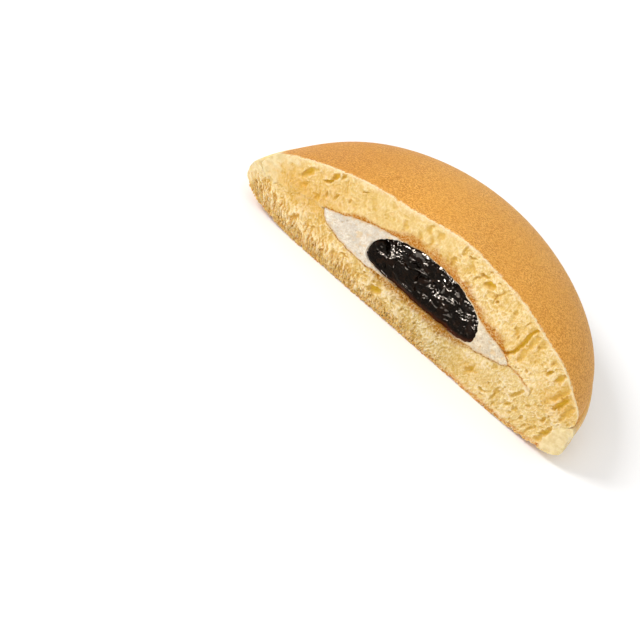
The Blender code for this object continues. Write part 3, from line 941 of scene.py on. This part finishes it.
class Nodes:
    """A short way to write a material's nodes."""

    def __init__(self, name):
        self.material = bpy.data.materials.new(name)
        self.material.use_nodes = True
        self.tree = self.material.node_tree
        self.shader = self.tree.nodes["Principled BSDF"]
        self.place = self.tree.nodes.new("ShaderNodeTexCoord").outputs["Object"]

    def link(self, source, socket):
        if isinstance(source, bpy.types.NodeSocket):
            self.tree.links.new(source, socket)
        else:
            socket.default_value = source

    def set(self, name, value):
        self.link(value, self.shader.inputs[name])

    def add(self, kind, output, inputs, **settings):
        """An output of a new node, whose inputs are values or other nodes' outputs."""
        node = self.tree.nodes.new("ShaderNode" + kind)
        for name, value in settings.items():
            setattr(node, name, value)
        for name, value in inputs.items():
            self.link(value, node.inputs[name])
        return node.outputs[output]

    def mask(self, name):
        return self.add("Attribute", "Fac", {}, attribute_name=name)

    def noise(self, size_mm, detail, rough=0.5, stretch=None):
        place = self.place
        if stretch:
            place = self.add("Mapping", "Vector", {"Scale": stretch, "Vector": place})
        inputs = {"Scale": 1.0 / (size_mm * MM), "Detail": detail, "Roughness": rough, "Vector": place}
        return self.add("TexNoise", "Fac", inputs)

    def cells(self, size_mm):
        inputs = {"Scale": 1.0 / (size_mm * MM), "Vector": self.place}
        return self.add("TexVoronoi", "Distance", inputs)

    def ramp(self, value, low, high, out_low=0.0, out_high=1.0):
        inputs = {"Value": value, "From Min": low, "From Max": high, "To Min": out_low, "To Max": out_high}
        return self.add("MapRange", "Result", inputs, interpolation_type="SMOOTHSTEP")

    def math(self, operation, a, b):
        return self.add("Math", "Value", {0: a, 1: b}, operation=operation)

    def mix(self, share, a, b, blend="MIX"):
        a, b = (c if isinstance(c, bpy.types.NodeSocket) else (*c, 1.0) for c in (a, b))
        inputs = {"Factor": share, MIX_A: a, MIX_B: b}
        return self.add("Mix", MIX_OUT, inputs, data_type="RGBA", blend_type=blend)

    def pattern(self, noise, ramp):
        return self.ramp(self.noise(*noise), *ramp)

    def roughen(self, noise, distance_mm, strength, under=None):
        """A normal with small bumps over it."""
        inputs = {"Strength": strength, "Distance": distance_mm * MM, "Height": self.noise(*noise)}
        if under is not None:
            inputs["Normal"] = under
        return self.add("Bump", "Normal", inputs)

    def soften(self, weight, radius, scale_mm):
        """Lets light run under the surface."""
        self.set("Subsurface Weight", weight)
        self.set("Subsurface Radius", radius)
        self.set("Subsurface Scale", scale_mm * MM)


def srgb(red, green, blue):
    """A colour read off as 0 to 255, as the linear value that a shader takes."""
    values = []
    for part in (red, green, blue):
        part = part / 255.0
        values.append(part / 12.92 if part <= 0.04045 else ((part + 0.055) / 1.055) ** 2.4)
    return tuple(values)


CRUST = srgb(222, 156, 62)
CRUST_LIGHT = srgb(245, 187, 94)
CRUST_DARK = srgb(182, 110, 26)
CRUST_TAN = (0.86, 0.8, 0.7)
# Crumb colours: the first is painted into the hollows as shade; the pale one is a painted highlight on
# raised crumb and also the paler band under the crust
CRUMB_HOLLOW_SHADE = srgb(210, 170, 88)
CRUMB_LIGHT = srgb(229, 202, 142)
CRUMB_PALE = srgb(240, 220, 182)
# Painted shade: the golden tone of light scattered inside open pores
CRUMB_PORE_SHADE = srgb(216, 174, 52)
CRUMB_GOLDEN = srgb(212, 158, 54)
# Painted shade in the gaps between the torn edge's strands
TUFT_GAP_SHADE = srgb(208, 138, 44)
TUFT_PALE = srgb(247, 225, 178)
SKIN = srgb(214, 190, 138)
SKIN_LIGHT = srgb(229, 210, 164)
SKIN_SIDE = srgb(238, 198, 126)
SKIN_SIDE_LIGHT = srgb(246, 216, 150)
STAIN_BROWN = (srgb(160, 104, 8), srgb(176, 104, 10))  # in the lower and in the upper cake
SEAM_BROWN = srgb(196, 126, 44)
BASE_BROWN = srgb(200, 132, 62)
# Painted shade: greys and darkens the crumb where less light falls
CRUMB_PAINTED_SHADE = (0.76, 0.8, 0.9)
CREAM_LIGHT = srgb(244, 234, 217)
CREAM_GREY = srgb(218, 207, 192)
CREAM_WARM = srgb(238, 208, 158)
CREAM_SPECK = srgb(206, 172, 128)
CREAM_GRAIN = srgb(206, 182, 146)
CREAM_RIM = srgb(224, 176, 112)
CREAM_FILM_BROWN = srgb(170, 112, 26)
CREAM_TINT = (1.0, 0.96, 0.86)
JELLY_DARK = srgb(8, 4, 2)
JELLY_BROWN = srgb(26, 13, 6)
JELLY_THIN = srgb(74, 32, 10)
JELLY_TINT = (1.0, 0.88, 0.76, 1.0)
LOOSE_BROWN = srgb(208, 140, 56)
LOOSE_GOLD = srgb(234, 194, 116)
LOOSE_PALE = srgb(246, 220, 168)
LOOSE_MIXED = srgb(222, 172, 88)
FLOOR_LOW = (0.985, 0.985, 0.985)
FLOOR_HIGH = (0.995, 0.995, 0.995)

# Patterns of the surfaces: a noise as lump size in millimetres, detail, roughness and stretch,
# then where its ramp starts and ends and the values there
CRUST_MOTTLE = ((0.42, 3.0, 0.7), (0.39, 0.61))
CRUST_CLOUDS = ((14.0, 2.0, 0.5), (0.3, 0.7, 0.25, 0.55))
SAND = ((0.36, 2.0, 0.6, (1.0, 1.0, 0.5)), (0.4, 0.6, -0.1, 0.1))
SHARP = ((0.3, 2.0, 0.6, (1.0, 1.0, 0.35)), (0.42, 0.58, -0.42, 0.42))
SEAM_BREAKS = ((0.5, 2.0), (0.3, 0.6, 0.5, 1.0))
FRINGE_BREAKS = ((0.6, 2.0), (0.38, 0.6, 0.2, 1.0))
STAIN_BREAKS = ((0.45, 2.0, 0.7), (0.42, 0.56, 0.45, 1.0))
SKIN_CLOUDS = ((1.8, 3.0, 0.6), (0.36, 0.64))
SIDE_CLOUDS = ((2.6, 4.0, 0.6), (0.34, 0.66))
CUT_EDGE = ((0.8, 3.0, 0.7), (0.3, 0.7, -0.14, 0.08))
CREAM_CLOUDS = ((2.2, 3.0, 0.6), (0.35, 0.65))
CREAM_WARMTH = ((1.1, 2.0), (0.52, 0.72, 0.0, 0.7))
CREAM_GRAINS = ((0.36, 2.0, 0.6), (0.42, 0.6, 0.0, 0.4))
JELLY_CLOUDS = ((1.6, 3.0), (0.46, 0.7))
LOOSE_CLOUDS = ((0.3, 2.0), (0.35, 0.65, 0.0, 0.4))
FLOOR_CLOUDS = (40.0, 2.0)

# Ramps over the masks and cells: start, end and, unless they are 0 and 1, the values there
# Painted shade: dark pinholes in the crust, pits that the mesh does not have
CRUST_PIN_SIZE = 3.2
CRUST_PIN = (0.0, 0.09, 1.0, 0.0)
CRUST_PIN_STRENGTH = 0.4
# Painted shade and painted highlight by relief: the crumb is darker and more golden where it lies deep and
# pale where it stands raised, as on pore lips; the first ramp weakens this on the torn edge
HOLLOW_TORN = 0.12
HOLLOW_PAINTED_SHADE = (0.16, 0.52)
RAISED_PAINTED_HIGHLIGHT = (0.06, 0.3, 0.7, 0.0)
# Painted shade: the golden tone of light scattered inside open pores
PORE_SHADE_RAMP = (0.2, 0.9)
STRAND = (0.4, 0.95, 0.0, 0.95)
# Painted shade between the strands of the torn edge
STRAND_GAP_SHADE = (0.0, 0.45, 0.55, 0.0)
UNDER_CRUST = (0.0, 0.16, 0.45, 0.0)
FRINGE = (0.03, 0.15, 1.0, 0.0)
SIDE_BEHIND = (0.3, 1.0)
OFF_CUT = (0.0, 0.22)
OFF_CUT_ROUGHNESS = (0.0, 1.0, 0.8, 0.55)
CREAM_SPECK_SIZE = 0.8
CREAM_SPECKS = (0.0, 0.18, 0.5, 0.0)
CREAM_RIM_STRENGTH = 0.6
CREAM_FILM_STRENGTH = 0.95
LOOSE_GOLDEN = (0.05, 0.4)
LOOSE_WHITE = (0.5, 0.95)

# Small bumps: noise, height in millimetres and strength
CRUST_BUMPS = ((0.45, 2.0, 0.6), 0.17, 0.8)
CRUMB_BUMPS = ((0.32, 2.0, 0.6), 0.12, 0.7)
CREAM_BUMPS = ((0.38, 3.0, 0.7), 0.42, 1.0)
JELLY_BUMPS = ((0.7, 2.0, 0.5), 0.1, 0.4)
LOOSE_BUMPS = ((0.2, 2.0), 0.05, 0.5)

# Light under the surface: weight, radius by colour and scale in millimetres
CRUMB_SOFT = (0.4, (1.0, 0.8, 0.3), 1.0)
CREAM_SOFT = (0.3, (1.0, 0.8, 0.6), 1.0)
JELLY_SOFT = (0.1, (1.0, 0.35, 0.12), 1.5)
LOOSE_SOFT = (0.3, (1.0, 0.6, 0.25), 0.6)


def pancake_material(name, upper):
    n = Nodes(name)
    pin = n.ramp(n.cells(CRUST_PIN_SIZE), *CRUST_PIN)
    crust = n.mix(n.pattern(*CRUST_MOTTLE), CRUST_DARK, CRUST_LIGHT)
    crust = n.mix(n.pattern(*CRUST_CLOUDS), crust, CRUST)
    # Painted shade of the crust's pinholes
    crust = n.mix(n.math("MULTIPLY", pin, CRUST_PIN_STRENGTH), crust, CRUST_DARK)
    crust = n.mix(n.mask("tan"), crust, CRUST_TAN, blend="MULTIPLY")

    torn = n.mask("torn")
    sand = n.math("MULTIPLY", n.pattern(*SAND), n.mask("lively"))
    hollow = n.math("ADD", n.mask("relief"), sand)
    hollow = n.math("SUBTRACT", hollow, n.math("MULTIPLY", torn, HOLLOW_TORN))
    tuft = n.math("ADD", n.mask("tuft"), n.pattern(*SHARP))
    # Painted shade in the hollows and painted highlight on the raised crumb, by relief depth with random
    # grain added
    crumb = n.mix(n.ramp(hollow, *HOLLOW_PAINTED_SHADE), CRUMB_LIGHT, CRUMB_HOLLOW_SHADE)
    crumb = n.mix(n.ramp(hollow, *RAISED_PAINTED_HIGHLIGHT), crumb, CRUMB_PALE)
    crumb = n.mix(n.mask("golden"), crumb, CRUMB_GOLDEN)
    # Painted shade: golden light scattered inside the pores
    crumb = n.mix(n.ramp(n.mask("deep"), *PORE_SHADE_RAMP), crumb, CRUMB_PORE_SHADE)
    crumb = n.mix(n.math("MULTIPLY", torn, n.ramp(tuft, *STRAND)), crumb, TUFT_PALE)
    # Painted shade between the strands of the torn edge
    crumb = n.mix(n.math("MULTIPLY", torn, n.ramp(tuft, *STRAND_GAP_SHADE)), crumb, TUFT_GAP_SHADE)
    crumb = n.mix(n.math("MULTIPLY", n.mask("seam"), n.pattern(*SEAM_BREAKS)), crumb, SEAM_BROWN)
    if upper:
        crumb = n.mix(n.ramp(n.mask("to_crust"), *UNDER_CRUST), crumb, CRUMB_PALE)
    else:
        fringe = n.math("MULTIPLY", n.ramp(n.mask("to_base"), *FRINGE), n.pattern(*FRINGE_BREAKS))
        crumb = n.mix(fringe, crumb, BASE_BROWN)
    # Painted shade: greyer crumb towards the right and under the jelly
    crumb = n.mix(n.mask("painted_shade"), crumb, CRUMB_PAINTED_SHADE, blend="MULTIPLY")
    soaked = n.math("MULTIPLY", n.mask("stain"), n.pattern(*STAIN_BREAKS))
    crumb = n.mix(soaked, crumb, STAIN_BROWN[upper])
    skin = n.mix(n.pattern(*SKIN_CLOUDS), SKIN, SKIN_LIGHT)
    crumb = n.mix(n.mask("skin"), crumb, skin)
    side = n.mix(n.pattern(*SIDE_CLOUDS), SKIN_SIDE, SKIN_SIDE_LIGHT)
    side = n.mix(n.ramp(n.mask("behind"), *SIDE_BEHIND), skin, side)

    outside = n.mix(n.mask("brown"), side, crust)
    off_cut = n.ramp(n.math("ADD", n.mask("behind"), n.pattern(*CUT_EDGE)), *OFF_CUT)
    n.set("Base Color", n.mix(off_cut, crumb, outside))
    n.set("Roughness", n.ramp(off_cut, *OFF_CUT_ROUGHNESS))
    n.set("Specular IOR Level", 0.2)
    n.soften(*CRUMB_SOFT)
    n.set("Normal", n.roughen(*CRUMB_BUMPS, under=n.roughen(*CRUST_BUMPS)))
    return n.material


def cream_material():
    n = Nodes("cream")
    colour = n.mix(n.pattern(*CREAM_CLOUDS), CREAM_LIGHT, CREAM_GREY)
    colour = n.mix(n.pattern(*CREAM_WARMTH), colour, CREAM_WARM)
    colour = n.mix(n.ramp(n.cells(CREAM_SPECK_SIZE), *CREAM_SPECKS), colour, CREAM_SPECK)
    colour = n.mix(n.pattern(*CREAM_GRAINS), colour, CREAM_GRAIN)
    colour = n.mix(n.math("MULTIPLY", n.mask("rim"), CREAM_RIM_STRENGTH), colour, CREAM_RIM)
    colour = n.mix(n.math("MULTIPLY", n.mask("film"), CREAM_FILM_STRENGTH), colour, CREAM_FILM_BROWN)
    n.set("Base Color", n.mix(n.mask("warm"), colour, CREAM_TINT, blend="MULTIPLY"))
    n.set("Roughness", 0.5)
    n.set("Specular IOR Level", 0.25)
    n.soften(*CREAM_SOFT)
    n.set("Normal", n.roughen(*CREAM_BUMPS))
    return n.material


def jelly_material():
    n = Nodes("coffee_jelly")
    body = n.mix(n.pattern(*JELLY_CLOUDS), JELLY_DARK, JELLY_BROWN)
    n.set("Base Color", n.mix(n.mask("thin"), body, JELLY_THIN))
    n.set("Roughness", 0.09)
    n.set("IOR", 1.33)
    n.set("Specular IOR Level", 0.14)
    n.set("Specular Tint", JELLY_TINT)
    n.soften(*JELLY_SOFT)
    n.set("Normal", n.roughen(*JELLY_BUMPS))
    return n.material


def loose_material():
    n = Nodes("loose_crumbs")
    shade = n.mask("shade")
    colour = n.mix(n.ramp(shade, *LOOSE_GOLDEN), LOOSE_BROWN, LOOSE_GOLD)
    colour = n.mix(n.ramp(shade, *LOOSE_WHITE), colour, LOOSE_PALE)
    n.set("Base Color", n.mix(n.pattern(*LOOSE_CLOUDS), colour, LOOSE_MIXED))
    n.set("Roughness", 0.8)
    n.set("Specular IOR Level", 0.3)
    n.soften(*LOOSE_SOFT)
    n.set("Normal", n.roughen(*LOOSE_BUMPS))
    return n.material


def floor_material():
    n = Nodes("floor")
    n.set("Base Color", n.mix(n.noise(*FLOOR_CLOUDS), FLOOR_LOW, FLOOR_HIGH))
    n.set("Roughness", 0.9)
    n.set("Specular IOR Level", 0.1)
    return n.material


# Cut face of the jelly

# Places where it is finely crumpled, which catch the light: x, z, reach
RUFFLES = (
    (-8.6, 17.0, 2.2), (-3.6, 19.6, 2.2), (-9.8, 13.0, 1.6), (5.0, 18.0, 2.8), (8.4, 20.6, 2.0),
    (12.6, 18.6, 1.6), (15.2, 16.2, 1.4),
)
JELLY_WARP_X = ((2.1, 1.9, 0.6, 105), (0.8, 0.8, 0.2, 107))
JELLY_WARP_Z = ((1.9, 1.9, 0.5, 106),)
# Folds run along a slanting line, as shares of X and Z, and are stretched along it
FOLD_LONG = 0.95
FOLD_SLANT = 0.3
FOLD_STRETCH = 1.6
# Facets: height, further height where the jelly is ruffled, stretch along, seed and size
BROAD_FACETS = (0.95, 0.0, 1.0, 108, 2.8)
FINE_FACETS = (0.55, 0.3, 1.3, 114, 1.5)
# Crests: height, further height where the jelly is ruffled, stretch along and across, and seed
CRESTS = (0.07, 0.12, 0.9, 1.1, 109)
FINE_CRESTS = (0.04, 0.0, 0.6, 0.55, 110)
FACET_DROP = 0.8
FACET_STEP = 0.5
FACET_LOWEST = -1.0
JELLY_MEAN_HEIGHT = 0.35
JELLY_CALM_SHARE = 0.35
JELLY_CALM_HEIGHT = 3.0
JELLY_DEPTH = 0.35
JELLY_LEAN = 0.7
JELLY_LEAN_TOP = 0.9
JELLY_SHORTEST = 0.5
JELLY_BLEND = 0.04
JELLY_EDGE_DEPTH = 0.4
JELLY_EDGE_REACH = 0.5
JELLY_FADE = 0.9
THIN_LOW = 0.75
THIN_LOW_HEIGHT = 1.8
THIN_LOW_X = (-8.0, 8.0)
THIN_EDGE = 0.3
THIN_EDGE_REACH = 0.45


def ridges(x, z, seed):
    """Thin crests from 0 to 1."""
    return (1.0 - np.abs(noise(x, z, seed))) ** 2


def facets(x, z, seed, size):
    """Small tilted faces from about -1 to 1 that meet in sharp folds."""
    height = np.full_like(x, -np.inf)
    for cx, cz in cells_around(x / size, z / size):
        at_x = (cx + lattice(cx, cz, seed)) * size
        at_z = (cz + lattice(cx, cz, seed + 1)) * size
        tilt_x = 2.0 * lattice(cx, cz, seed + 2) - 1.0
        tilt_z = 2.0 * lattice(cx, cz, seed + 3) - 1.0
        away = np.hypot(x - at_x, z - at_z) / size
        plane = (tilt_x * (x - at_x) + tilt_z * (z - at_z)) / size
        step = FACET_STEP * lattice(cx, cz, seed + 4)
        height = np.maximum(height, plane - FACET_DROP * away + step)
    return np.maximum(height, FACET_LOWEST)


def jelly_depth(x, z, above, under):
    """How far the jelly's cut face lies behind the knife's cut, leaning back towards its top."""
    level = np.clip(under / np.maximum(above + under, JELLY_SHORTEST), 0.0, 1.0)
    warp_x = add_noise(x, x, z, JELLY_WARP_X)
    warp_z = add_noise(z, x, z, JELLY_WARP_Z)
    along = (FOLD_LONG * warp_x + FOLD_SLANT * warp_z) / FOLD_STRETCH
    across = FOLD_LONG * warp_z - FOLD_SLANT * warp_x
    ruffled = sum(hill(x, at_x, reach) * hill(z, at_z, reach) for at_x, at_z, reach in RUFFLES)
    ruffled = np.clip(ruffled, 0.0, 1.0)
    height = np.zeros_like(x)
    for (tall, taller, stretch, seed, size), in_x, in_z in (
            (BROAD_FACETS, along, across), (FINE_FACETS, warp_x, warp_z)):
        height = height + (tall + taller * ruffled) * facets(in_x / stretch, in_z, seed, size)
    for (tall, taller, stretch_x, stretch_z, seed), in_x, in_z in (
            (CRESTS, along, across), (FINE_CRESTS, warp_x, warp_z)):
        height = height + (tall + taller * ruffled) * ridges(in_x / stretch_x, in_z / stretch_z, seed)
    calm = JELLY_CALM_SHARE + (1.0 - JELLY_CALM_SHARE) * rising(under, 0.0, JELLY_CALM_HEIGHT)
    height = (height - JELLY_MEAN_HEIGHT) * calm
    depth = JELLY_DEPTH + JELLY_LEAN * level + JELLY_LEAN_TOP * level ** 3 - height
    return 0.5 * (depth + np.sqrt(depth ** 2 + JELLY_BLEND))


def add_jelly():
    reach = JELLY_RADIUS + JELLY_GROW
    path = rim_path(lambda _angle: reach, JELLY_X, JELLY_STEPS[0])
    solid = HalfSolid(path, JELLY_X, jelly_bottom, jelly_top, JELLY_STEPS)
    points = solid.points
    x, z = points[:, 0].copy(), points[:, 2].copy()
    above = jelly_top(x, CUT_Y) - z
    under = z - jelly_bottom(x, CUT_Y)
    border = np.minimum(np.minimum(above, under), reach - np.abs(x - JELLY_X))
    border = np.maximum(border, 0.0)
    depth = jelly_depth(x, z, above, under) + JELLY_EDGE_DEPTH * hill(border, 0.0, JELLY_EDGE_REACH)
    points[:, 1] += np.maximum(depth, 0.0) * np.exp(-solid.behind / JELLY_FADE)
    loosen(points, solid.behind)
    low_edge = falling(under, THIN_LOW_HEIGHT, THIN_LOW_HEIGHT) * rising(x, *THIN_LOW_X)
    masks = {"thin": THIN_LOW * low_edge + THIN_EDGE * hill(border, 0.0, THIN_EDGE_REACH)}
    return make_object("coffee_jelly_wet", points, solid.faces, masks, "coffee_jelly", jelly_material())


# Cut face of the cream

CREAM_MEAN_DEPTH = 0.3
CREAM_LUMPS = (1.3, 1.3, 0.2, 121)
CREAM_PORES = (1.0, 1.0, 125, 0.5, 0.12, 0.32)
CREAM_PORE_DEPTH = 0.25
CREAM_BEHIND_JELLY = 0.6
ON_CUT = 1e-6
FILM_UNDER_X = ((-6.0, 3.0), (15.0, 3.0))
FILM_OVER_X = ((-9.0, 3.0), (8.0, 4.0))
FILM_OVER = 0.7
CREAM_RIM_WIDTH = 0.2
CREAM_RIM_WIDER = 0.3
CREAM_RIM_WANDER = ((0.8, 0.8, 0.5, 127),)
CREAM_WARM_X = (12.0, 6.0)


def add_cream():
    path = rim_path(lambda _angle: CREAM_RADIUS, CREAM_X, CREAM_STEPS[0])
    solid = HalfSolid(path, CREAM_X, cream_bottom, cream_top, CREAM_STEPS)
    points = solid.points
    x, z = points[:, 0].copy(), points[:, 2].copy()
    fade = np.exp(-solid.behind / RELIEF_FADE)
    rough = add_layered(CREAM_MEAN_DEPTH, x, z, CREAM_LUMPS, 3)
    rough = rough + CREAM_PORE_DEPTH * pores(x, z, CREAM_PORES)
    reach = jelly_back(x, z)
    hollow = np.where((solid.behind < ON_CUT) & (reach > CUT_Y), reach - CUT_Y, 0.0)
    open_face = np.maximum(rough, 0.0) * fade
    points[:, 1] += np.where(hollow > 0, np.maximum(hollow, CREAM_BEHIND_JELLY), open_face)
    loosen(points, solid.behind)
    under = between(x, *FILM_UNDER_X) * (z < JELLY_EDGE_Z)
    over = between(x, *FILM_OVER_X) * (z >= JELLY_EDGE_Z)
    rim_gap = np.minimum(cream_top(x, CUT_Y) - z, z - cream_bottom(x, CUT_Y))
    wander = add_noise(0.5, x, z, CREAM_RIM_WANDER)
    masks = {
        "film": np.maximum(under, FILM_OVER * over),
        "rim": hill(rim_gap, 0.0, CREAM_RIM_WIDTH + CREAM_RIM_WIDER * wander),
        "warm": rising(x, *CREAM_WARM_X),
    }
    return make_object("cream_whipped", points, solid.faces, masks, "cream", cream_material())


# Loose crumbs and tufts along the torn lower edge

CRUMBS = 2800
CRUMB_SEED = 5
CRUMB_END_X = 47.0
CRUMB_MEAN_UP = 1.6
CRUMB_HIGHEST = 7.0
CRUMB_AT_EDGE = 0.3
CRUMB_AT_EDGE_REACH = 0.35
TUFT_FROM = 0.1
TUFT_LONG = 0.2
TUFT_LONGER = 0.45
CRUMB_LONG = 0.12
CRUMB_LONGER = 0.2
CRUMB_WIDE = 0.07
CRUMB_WIDER = 0.06
CRUMB_TURN = 0.5
CRUMB_BACK = 0.12
CRUMB_BACK_MORE = 0.15
TUFT_BACK_MORE = 0.4
CRUMB_UNEVEN = 0.35
CRUMB_RAISED = 0.6
CRUMB_CLEAR = 0.03  # kept off the table and behind the cut
CRUMB_SHADE = 0.75
CRUMB_SHADE_UP = 2.0
POD_SIDES = 6
POD_RINGS = ((-0.55, 0.8), (0.1, 1.0), (0.65, 0.7))  # height and half width


def pod_shape():
    """A small closed pod of unit half length along Z and unit half width."""
    points = [(0.0, 0.0, -1.0)]
    for level, width in POD_RINGS:
        for step in range(POD_SIDES):
            turn = 2.0 * math.pi * step / POD_SIDES
            points.append((width * math.cos(turn), width * math.sin(turn), level))
    tip = len(points)
    points.append((0.0, 0.0, 1.0))
    last = tip - POD_SIDES
    faces = []
    for step in range(POD_SIDES):
        after = (step + 1) % POD_SIDES
        faces.append((0, 1 + after, 1 + step, 1 + step))
        for base in range(1, last, POD_SIDES):
            faces.append((base + step, base + after, base + POD_SIDES + after, base + POD_SIDES + step))
        faces.append((last + step, last + after, tip, tip))
    return np.array(points), np.array(faces)


def add_crumbs():
    rng = np.random.default_rng(CRUMB_SEED)
    pod, pod_faces = pod_shape()
    all_points = []
    all_faces = []
    shades = []
    while len(all_points) < CRUMBS:
        x = rng.uniform(-CRUMB_END_X, CRUMB_END_X)
        up = rng.exponential(CRUMB_MEAN_UP)
        keep, size, turn, shade = rng.random(4)
        torn = float(torn_share(x, up))
        if up > CRUMB_HIGHEST or keep > CRUMB_AT_EDGE * math.exp(-up / CRUMB_AT_EDGE_REACH) + torn:
            continue
        half_long = CRUMB_LONG + CRUMB_LONGER * size
        if torn > TUFT_FROM:
            half_long = TUFT_LONG + TUFT_LONGER * size ** 2 * torn
        half_wide = CRUMB_WIDE + CRUMB_WIDER * rng.random()
        lean = FAN * x + CRUMB_TURN * (turn - 0.5)
        depth = CRUMB_BACK + (CRUMB_BACK_MORE + TUFT_BACK_MORE * torn) * rng.random()
        uneven = 1.0 + CRUMB_UNEVEN * (rng.random(pod.shape) - 0.5)
        shape = pod * uneven * np.array([half_wide, half_wide, half_long])
        turned = shape.copy()
        turned[:, 0] = shape[:, 0] * math.cos(lean) + shape[:, 2] * math.sin(lean)
        turned[:, 2] = shape[:, 2] * math.cos(lean) - shape[:, 0] * math.sin(lean)
        low = float(base_bottom(x, CUT_Y))
        turned += np.array([x, CUT_Y + depth, low + up + CRUMB_RAISED * half_long])
        turned[:, 1] = np.maximum(turned[:, 1], CUT_Y + CRUMB_CLEAR)
        turned[:, 2] = np.maximum(turned[:, 2], CRUMB_CLEAR)
        all_faces.append(pod_faces + len(pod) * len(all_points))
        all_points.append(turned)
        shade = CRUMB_SHADE * shade + (1.0 - CRUMB_SHADE) * min(up / CRUMB_SHADE_UP, 1.0)
        shades.append(np.full(len(pod), shade))
    masks = {"shade": np.concatenate(shades)}
    crumbs = make_object("crumbs_lower_edge", np.concatenate(all_points), np.concatenate(all_faces),
                         masks, None, loose_material())


# Stage, camera and light

FLOOR_HALF = 2.5
CAMERA_CLIP = (0.01, 20.0)
WORLD_STRENGTH = 0.82
WORLD_RISE = (0.0, 0.6)  # the world gets brighter from the horizon up to here
WORLD_SHARE = (0.5, 1.0)
# The main light: metres along the picture's right, up and towards the camera
KEY_PLACE = (-0.5, 0.9, 0.7)
KEY_SIZE = 0.4
KEY_POWER = 7.5
# Lights that only show as reflections in the jelly: degrees to the right and up, size and power
FRONT_LIGHTS = (
    ("gloss_left", -28.0, 16.0, 0.13, 48.0), ("gloss_middle", 2.0, 30.0, 0.13, 48.0),
    ("gloss_right", 30.0, 14.0, 0.13, 48.0), ("sheen", 4.0, 18.0, 0.6, 28.0),
)
FRONT_LIGHT_AWAY = 0.9
# A light that brightens the cut without any gloss
FILL_TURN = 6.0
FILL_RISE = 22.0
FILL_SIZE = 0.6
FILL_POWER = 1.8


def add_floor():
    mesh = bpy.data.meshes.new("floor")
    corners = [(-1, -1), (1, -1), (1, 1), (-1, 1)]
    mesh.from_pydata([(x * FLOOR_HALF, y * FLOOR_HALF, 0) for x, y in corners], [], [(0, 1, 2, 3)])
    floor = bpy.data.objects.new("floor", mesh)
    bpy.context.collection.objects.link(floor)
    floor.data.materials.append(floor_material())


def direction(turn, rise):
    """A unit step in front of the cut, by degrees to the right of it and above the table."""
    turn, rise = math.radians(turn), math.radians(rise)
    return Vector((math.sin(turn) * math.cos(rise), -math.cos(turn) * math.cos(rise), math.sin(rise)))


def view_axes():
    """Towards the camera, the picture's right and the picture's up."""
    back = direction(VIEW_AZIMUTH, VIEW_ELEVATION)
    roll = math.radians(VIEW_ROLL)
    level = Vector((0, 0, 1)).cross(back).normalized()
    upright = back.cross(level)
    right = level * math.cos(roll) + upright * math.sin(roll)
    up = upright * math.cos(roll) - level * math.sin(roll)
    return back, right, up


def add_camera():
    back, right, up = view_axes()
    target = Vector(VIEW_TARGET)
    eye = target + back * VIEW_DISTANCE
    middle = PICTURE_SIZE / 2
    aim = target + right * ((middle - TARGET_PIXEL[0]) / PIXELS_PER_MM)
    aim = aim - up * ((middle - TARGET_PIXEL[1]) / PIXELS_PER_MM)
    forward = (aim - eye).normalized()
    side = forward.cross(up).normalized()
    true_up = side.cross(forward)
    data = bpy.data.cameras.new("camera")
    data.sensor_width = SENSOR
    data.lens = PIXELS_PER_MM * VIEW_DISTANCE / PICTURE_SIZE * SENSOR
    data.clip_start, data.clip_end = CAMERA_CLIP
    camera = bpy.data.objects.new("camera", data)
    bpy.context.collection.objects.link(camera)
    place = Matrix.Translation(Vector(to_frame(np.array(eye))))
    camera.matrix_world = place @ Matrix((side, true_up, -forward)).transposed().to_4x4()
    bpy.context.scene.camera = camera


def add_light(name, place, size, power):
    """A square light that faces the middle of the model's underside."""
    data = bpy.data.lights.new(name, "AREA")
    data.shape = "SQUARE"
    data.size = size
    data.energy = power
    light = bpy.data.objects.new(name, data)
    light.location = place
    light.rotation_euler = place.to_track_quat("Z", "Y").to_euler()
    bpy.context.collection.objects.link(light)
    return light


def add_world():
    world = bpy.data.worlds.new("studio")
    world.use_nodes = True
    tree = world.node_tree
    background = tree.nodes["Background"]
    place = tree.nodes.new("ShaderNodeTexCoord")
    parts = tree.nodes.new("ShaderNodeSeparateXYZ")
    rise = tree.nodes.new("ShaderNodeMapRange")
    rise.interpolation_type = "SMOOTHSTEP"
    names = ("From Min", "From Max", "To Min", "To Max")
    for name, value in zip(names, WORLD_RISE + WORLD_SHARE):
        rise.inputs[name].default_value = value
    tree.links.new(place.outputs["Generated"], parts.inputs["Vector"])
    tree.links.new(parts.outputs["Z"], rise.inputs["Value"])
    tree.links.new(rise.outputs["Result"], background.inputs["Color"])
    background.inputs["Strength"].default_value = WORLD_STRENGTH
    bpy.context.scene.world = world


def add_lighting(wet_piece):
    add_world()
    back, right, up = view_axes()
    to_right, to_up, to_back = KEY_PLACE
    add_light("key", right * to_right + up * to_up + back * to_back, KEY_SIZE, KEY_POWER)
    wet = bpy.data.collections.new("wet")
    wet.objects.link(wet_piece)
    for name, turn, rise, size, power in FRONT_LIGHTS:
        light = add_light(name, direction(turn, rise) * FRONT_LIGHT_AWAY, size, power)
        light.visible_diffuse = False
        light.light_linking.receiver_collection = wet
    fill = add_light("fill", direction(FILL_TURN, FILL_RISE) * FRONT_LIGHT_AWAY, FILL_SIZE, FILL_POWER)
    fill.visible_glossy = False
    bpy.context.scene.view_settings.view_transform = "Standard"


def add_pancakes():
    upper_path = rim_path(rim, 0.0, UPPER_STEPS[0])
    pancake("upper_pancake_crumb", upper_path, UPPER_STEPS, upper_bottom, dome_top, True,
            pancake_material("upper_pancake", True), bulge=UPPER_BULGE)
    lower_path = rim_path(lower_rim, 0.0, LOWER_STEPS[0])
    pancake("lower_pancake_crumb", lower_path, LOWER_STEPS, base_bottom, lower_top, False,
            pancake_material("lower_pancake", False), bulge=LOWER_BULGE, lean=LOWER_LEAN)


add_camera()
add_floor()
jelly = add_jelly()
add_cream()
add_lighting(jelly)
add_pancakes()
add_crumbs()
